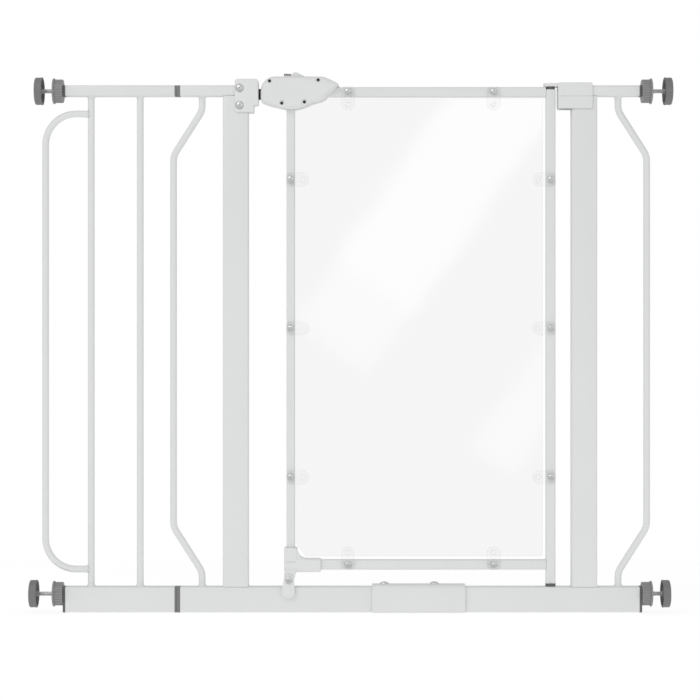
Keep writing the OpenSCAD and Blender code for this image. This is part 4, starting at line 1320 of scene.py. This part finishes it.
@dataclass
class Handle:
    """The two-part latch housing at the door's upper corner."""

    wall: float = 2.2
    middle: Point2 = (-74.0, 726.5)
    dip: float = 1.5
    dip_at: Point2 = (-72.0, 729.0)
    dip_spread: Point2 = (26.0, 8.0)
    dip_from: float = 0.6
    recess_r: float = 4.0
    dot_sunk: float = 1.1
    seam_lap: float = 1.0
    inset_x: float = 1.35
    half_h: float = 23.0

    OUTLINE: ClassVar[tuple[Point2, ...]] = (
        (-125.7, 716.5), (-125.9, 726.0), (-125.2, 733.5), (-122.6, 739.6), (-118.1, 744.5), (-112.5, 747.6),
        (-106.0, 748.6), (-73.0, 748.6), (-42.0, 748.5), (-36.0, 747.5), (-29.8, 744.9), (-22.0, 741.0),
        (-17.7, 738.4), (-16.6, 736.6), (-18.6, 734.4), (-31.3, 722.1), (-34.8, 717.6), (-39.6, 714.9),
        (-53.8, 710.9), (-64.0, 706.2), (-73.2, 703.5), (-81.0, 702.9), (-89.4, 703.2), (-98.1, 704.9),
        (-110.4, 707.8), (-118.0, 710.2), (-122.6, 712.3), (-124.8, 714.2))
    DOTS: ClassVar[tuple[Point2, ...]] = ((-113.3, 741.8), (-45.5, 743.0), (-96.2, 710.5), (-64.6, 712.2))
    CROWN: ClassVar[tuple[Point2, ...]] = (
        (1.0, 0.50), (0.992, 0.60), (0.975, 0.69), (0.95, 0.77), (0.915, 0.84), (0.87, 0.895), (0.81, 0.935),
        (0.73, 0.962), (0.64, 0.98), (0.54, 0.989), (0.44, 0.994), (0.34, 0.997), (0.24, 0.999), (0.14, 1.0))

    def build(self) -> None:
        """Makes both shells, the screw dots, the tongue and the thumb slide."""
        front_y, rear_y = span("handle_front_shell")[0].y, span("handle_rear_shell")[1].y
        plugs = Shape()
        front = self._pillow(0.0, front_y)
        surface = BVHTree.FromBMesh(front.bm)
        heights = {dot: surface.ray_cast((dot[0], -60.0, dot[1]), (0, 1, 0))[0].y for dot in self.DOTS}
        self._hollow(front, front_y)
        for (x, z), y in heights.items():
            recess = Shape().disc(x, z, self.recess_r, Plane.FRONT, y - 6.0, y + self.dot_sunk)
            front.merged(recess, Merge.CUT)
            dome = [(0.0, -0.8), (1.4, -0.7), (2.2, -0.3), (2.3, 0.3), (2.3, 2.0), (0.0, 2.0)]
            plug = Shape().lathe(dome, 32)
            plug.moved(Matrix.Rotation(math.radians(-90), 4, "X"))
            plugs.with_copy(plug, Matrix.Translation((x, y + self.dot_sunk, z)))
        front.publish("handle_front_cover", Finish.WHITE, "door", ["handle_front_shell"], 40.0)
        rear = self._pillow(0.0, rear_y)
        self._hollow(rear, rear_y)
        rear.publish("handle_rear_cover", Finish.WHITE, "door", ["handle_rear_shell"], 40.0)
        plugs.publish("handle_screw_dots", Finish.BLACK, "door", ["handle_screws"])
        Latch().build()

    def _pillow(self, seam: float, face_y: float, inset: float = 0.0) -> Shape:
        """A crowned solid on the handle's outline.

        Args:
            seam: y of its flat side.
            face_y: y of the top of its crown.
            inset: how far its outline and its crown lie inside the handle's own.

        Returns:
            The solid.
        """
        mid = Vector((self.middle[0], 0.0, self.middle[1]))
        shape = Shape()
        depth = (face_y - seam) * (1.0 - inset / abs(face_y - seam))
        corners = [self._inset(point, inset) for point in self.OUTLINE]
        points: list[Triple] = []
        for (x0, z0), (x1, z1) in zip(corners, corners[1:] + corners[:1]):
            parts = max(1, round(math.hypot(x1 - x0, z1 - z0) / 5.0))
            points += [(x0 + (x1 - x0) * i / parts, seam, z0 + (z1 - z0) * i / parts) for i in range(parts)]
        ring, scale, level = shape.ring(points), 1.0, 0.0
        for new_scale, new_level in self.CROWN:
            ring, verts = shape.raised(ring)
            ratio = new_scale / scale
            bmesh.ops.scale(shape.bm, vec=(ratio, 1.0, ratio), verts=verts, space=Matrix.Translation(-mid))
            bmesh.ops.translate(shape.bm, vec=(0, (new_level - level) * depth, 0), verts=verts)
            scale, level = new_scale, new_level
        bmesh.ops.edgeloop_fill(shape.bm, edges=ring)
        sign = -1.0 if depth > 0 else 1.0
        for vert in shape.bm.verts:
            if abs(vert.co.y - seam) > abs(depth) * self.dip_from:
                u = (vert.co.x - self.dip_at[0]) / self.dip_spread[0]
                v = (vert.co.z - self.dip_at[1]) / self.dip_spread[1]
                vert.co.y += sign * self.dip * math.exp(-u * u - v * v)
        return shape.outward()

    def _hollow(self, shell: Shape, face_y: float) -> None:
        """Cuts a shell's cavity and the openings for the tongue, the door's tubes and the slide.

        Args:
            shell: the solid that becomes a shell.
            face_y: y of the top of its crown.
        """
        lap = self.seam_lap if face_y < 0 else -self.seam_lap
        inner = self._pillow(lap, face_y, self.wall + self.seam_lap)
        shell.merged(inner, Merge.CUT)
        tongue, stile, rail = span("latch_tongue"), span("latch_stile"), span("door_top_rail")
        gap, fit = 0.5, 0.1
        openings = [
            ((-140.0, tongue[0].y - gap, tongue[0].z - gap), (-110.0, tongue[1].y + gap, tongue[1].z + gap)),
            ((stile[0].x - fit, stile[0].y - fit, 690.0), (stile[1].x + fit, stile[1].y + fit, 722.0)),
            ((-60.0, rail[0].y - fit, rail[0].z - fit), (0.0, rail[1].y + fit, rail[1].z + fit)),
            ((-96.5, -4.5, 740.0), (-64.0, 4.5, 760.0))]
        for low, high in openings:
            shell.merged(Shape().box(low, high), Merge.CUT)

    def _inset(self, point: Point2, by: float) -> Point2:
        """Moves a point of the outline inwards.

        Args:
            point: the point.
            by: about how far it moves.

        Returns:
            The moved point.
        """
        dx, dz = point[0] - self.middle[0], point[1] - self.middle[1]
        far = math.hypot(dx, dz)
        return (self.middle[0] + dx * (1.0 - self.inset_x * by / far),
                self.middle[1] + dz * (1.0 - by / self.half_h))


@dataclass
class Latch:
    """The tongue and the thumb slide that draws it back."""

    stem: float = 9.0
    stem_t: float = 4.0
    bar_z: Point2 = (736.2, 744.5)
    neck_z: float = 740.0
    button_w: float = 7.0
    skirt_t: float = 1.2
    hump_at: float = 15.5
    hump_l: float = 28.5
    peg_l: float = 4.0
    ridges: int = 5
    ridge_pitch: float = 2.1
    ridge_w: float = 1.6

    def build(self) -> None:
        """Makes the tongue, the slide and its grip."""
        low, high = span("latch_tongue")
        tongue = Shape().box(low, high)
        tongue.soften(0.9, 3, 50.0)
        tongue.publish("latch_tongue_block", Finish.BLACK, "latch_slider", ["latch_tongue"])
        low, high = span("thumb_slide")
        left, seat = span("thumb_grip")[0].x, span("thumb_grip")[0].z
        skirt, peak_x, right, t = seat - self.skirt_t, left + self.hump_at, left + self.hump_l, self.stem_t
        slide = Shape().box((low.x, -t, span("latch_tongue")[1].z), (low.x + self.stem, t, self.bar_z[1]))
        bar = Shape().box((low.x, -t, self.bar_z[0]), (high.x - self.peg_l, t, self.bar_z[1]))
        slide.merged(bar, Merge.ADD)
        neck = Shape().box((left + 3.5, -t, self.neck_z), (right - 3.0, t, skirt + 0.5))
        slide.merged(neck, Merge.ADD)
        slide.soften(0.4, 2, 50.0)
        hump: list[Point2] = [
            (left, skirt), (right, skirt), (right, skirt + 0.8), (left + 25.0, skirt + 2.2),
            (left + 20.5, skirt + 4.6), (peak_x + 1.6, skirt + 5.9), (peak_x - 0.6, skirt + 6.0),
            (peak_x - 3.0, skirt + 4.8), (peak_x - 5.0, skirt + 1.9), (peak_x - 5.6, skirt + 1.2),
            (left, skirt + 1.2)]
        button = Shape().prism(hump, Plane.FRONT, -self.button_w, self.button_w)
        button.soften(0.45, 3, 45.0)
        slide.with_copy(button)
        peg = Shape().lathe([(0.0, 0.0), (1.6, 0.0), (1.6, 3.5), (1.1, 4.0), (0.0, 4.0)], 24)
        slide.with_copy(peg.facing((1, 0, 0), (high.x - self.peg_l, 0, sum(self.bar_z) / 2)))
        slide.publish("thumb_slide_button", Finish.WHITE, "latch_slider", ["thumb_slide"])
        low, high = span("thumb_grip")
        grip = Shape()
        for i in range(self.ridges):
            x = low.x + 0.2 + i * self.ridge_pitch
            ridge = Shape().box((x, low.y + 0.2, low.z), (x + self.ridge_w, high.y - 0.2, high.z - 0.1 * i))
            grip.with_copy(ridge.soften(0.5, 3, 50.0))
        pad = Shape().box((low.x, low.y, low.z), (high.x, high.y, high.z - 1.3))
        grip.with_copy(pad.soften(0.4, 2, 50.0))
        grip.publish("thumb_grip_ridges", Finish.RUBBER, "latch_slider", ["thumb_grip"])


# ---------- studio ----------


@dataclass
class Studio:
    """A white floor and air, soft lights that the camera doesn't see, and the camera."""

    distance: float = 2.9
    eye_x: float = -0.0011
    eye_z: float = 0.3667
    lens: float = 106.5
    floor_low: Point2 = (-3.0, -2.2)
    floor_high: Point2 = (3.0, 0.75)
    glow: float = 0.872
    air: float = 0.58
    strip_lean: float = 55.0

    def build(self) -> None:
        """Makes the stage, the lights and the camera."""
        self._floor()
        self._world()
        self._lamp("key", (-1.5, -2.0, 2.6), (1.3, 1.3), 20.0)
        self._lamp("fill", (1.8, -2.4, 1.5), (1.5, 1.5), 5.0)
        self._strip("long_strip", (0.358, 0.596), 1.02, 0.262, 0.95)
        self._strip("lower_strip", (0.010, 0.100), 0.23, 0.255, 0.5)
        self._strip("short_strip", (0.52, -0.13), 0.44, 0.14, 0.5)
        self._camera()

    def _floor(self) -> None:
        """A pale floor under the gate."""
        g = Graph(bpy.data.materials.new("studio_white"))
        tone = g.tint((0.17, 0.17, 0.17), (0.19, 0.19, 0.19), g.noise(1.5, 1.0))
        white = g.surface(g.node("ShaderNodeBsdfPrincipled", None, {
            "Base Color": tone, "Roughness": 0.9, "Specular IOR Level": 0.0,
            "Emission Color": (1.0, 1.0, 1.0, 1.0), "Emission Strength": self.glow}))
        shape = Shape().box((*self.floor_low, -0.021), (*self.floor_high, -0.001))
        mesh = bpy.data.meshes.new("studio_floor")
        shape.bm.to_mesh(mesh)
        shape.bm.free()
        mesh.materials.append(white)
        floor = bpy.data.objects.new("studio_floor", mesh)
        floor.visible_glossy = False
        bpy.context.scene.collection.objects.link(floor)

    def _world(self) -> None:
        """Even, dim light from all round, which the camera sees as white."""
        g = Graph(bpy.data.worlds.new("studio_air"))
        level = g.node("ShaderNodeLightPath", output="Is Camera Ray") * (1.0 - self.air) + self.air
        air = g.node("ShaderNodeBackground", None, {"Color": (1.0, 1.0, 1.0, 1.0), "Strength": level})
        g.node("ShaderNodeOutputWorld", None, {"Surface": air})
        bpy.context.scene.world = g.owner
        bpy.context.scene.view_settings.view_transform = "Standard"

    def _lamp(self, name: str, place: Triple, size: Point2, power: float) -> bpy.types.Object:
        """A soft light aimed at the gate and hidden from the camera.

        Args:
            name: the lamp's name.
            place: where it stands.
            size: its face, across and up.
            power: its strength in watts.

        Returns:
            The lamp.
        """
        light = bpy.data.lights.new(name, "AREA")
        light.shape, light.size, light.size_y, light.energy = "RECTANGLE", size[0], size[1], power
        lamp = bpy.data.objects.new(name, light)
        lamp.location = place
        aim = Vector((0.0, 0.0, 0.36)) - Vector(place)
        lamp.rotation_euler = aim.to_track_quat("-Z", "Y").to_euler()
        lamp.visible_camera = False
        bpy.context.scene.collection.objects.link(lamp)
        return lamp

    def _strip(self, name: str, at: Point2, length: float, width: float, glow: float) -> None:
        """A leaning strip light beside the camera, whose mirror image crosses the clear panel.

        Args:
            name: the lamp's name.
            at: its middle, across and up from the camera.
            length: its length along its lean.
            width: its width.
            glow: how bright its face is.
        """
        place = (at[0], -self.distance - 0.02, self.eye_z + at[1])
        lamp = self._lamp(name, place, (length, width), glow * math.pi * length * width)
        lamp.rotation_euler = (Matrix.Rotation(math.radians(-self.strip_lean), 4, "Y")
                               @ Matrix.Rotation(math.radians(90), 4, "X")).to_euler()

    def _camera(self) -> None:
        """A level camera in front of the middle of the gate."""
        lens = bpy.data.cameras.new("camera")
        lens.lens, lens.sensor_width = self.lens, 36.0
        camera = bpy.data.objects.new("camera", lens)
        camera.location = (self.eye_x, -self.distance, self.eye_z)
        camera.rotation_euler = (math.radians(90), 0.0, 0.0)
        bpy.context.scene.collection.objects.link(camera)
        bpy.context.scene.camera = camera


# ---------- whole gate ----------


class Gate:
    """Dresses the CAD nodes that stay and builds the pieces that stand for the others."""

    def dress(self) -> None:
        """Gives every CAD node the finish of its slot."""
        slots = {part["node"]: part["material_slot"] for part in frame["record"]["subparts"]}
        for node, piece in frame["nodes"].items():
            material = PALETTE.of(Finish(slots[node]))
            for holder in piece.material_slots:
                holder.material = material

    def tubes(self) -> list[Tube]:
        """The steel tubes of the frame and the door.

        Returns:
            The tubes, not built yet.
        """
        long_ones = ["base_rail_left", "base_rail_right", "extension_base_tube", "extension_top_tube",
                     "latch_side_top_arm", "hinge_side_top_arm"]
        made = [Tube(node, Plane.SIDE, 3.0) for node in long_ones]
        made += [Tube(node, Plane.TOP, 3.0) for node in ("latch_post", "hinge_post")]
        made += [Tube(node, Plane.SIDE, 2.5, "door") for node in ("door_top_rail", "door_bottom_rail")]
        made += [Tube(node, Plane.TOP, 2.5, "door") for node in ("latch_stile", "hinge_stile")]
        return made

    def build(self) -> None:
        """Makes everything."""
        self.dress()
        for tube in self.tubes():
            tube.build()
        SideBars().build()
        Coupler().build()
        for node in ("top_joiner", "base_joiner"):
            Joiner(node).build()
        Keeper().build()
        HingeBracket().build()
        for corner in ("upper_left", "lower_left", "upper_right", "lower_right"):
            Spindle(corner, Side.LEFT if corner.endswith("left") else Side.RIGHT).build()
        PanelClips().build()
        CornerElbow().build()
        Handle().build()


def main() -> None:
    """Builds the gate and the studio."""
    logging.basicConfig(level=logging.INFO, format="%(name)s: %(message)s")
    Gate().build()
    Studio().build()
    bpy.context.view_layer.update()


if __name__ == "__main__":
    main()
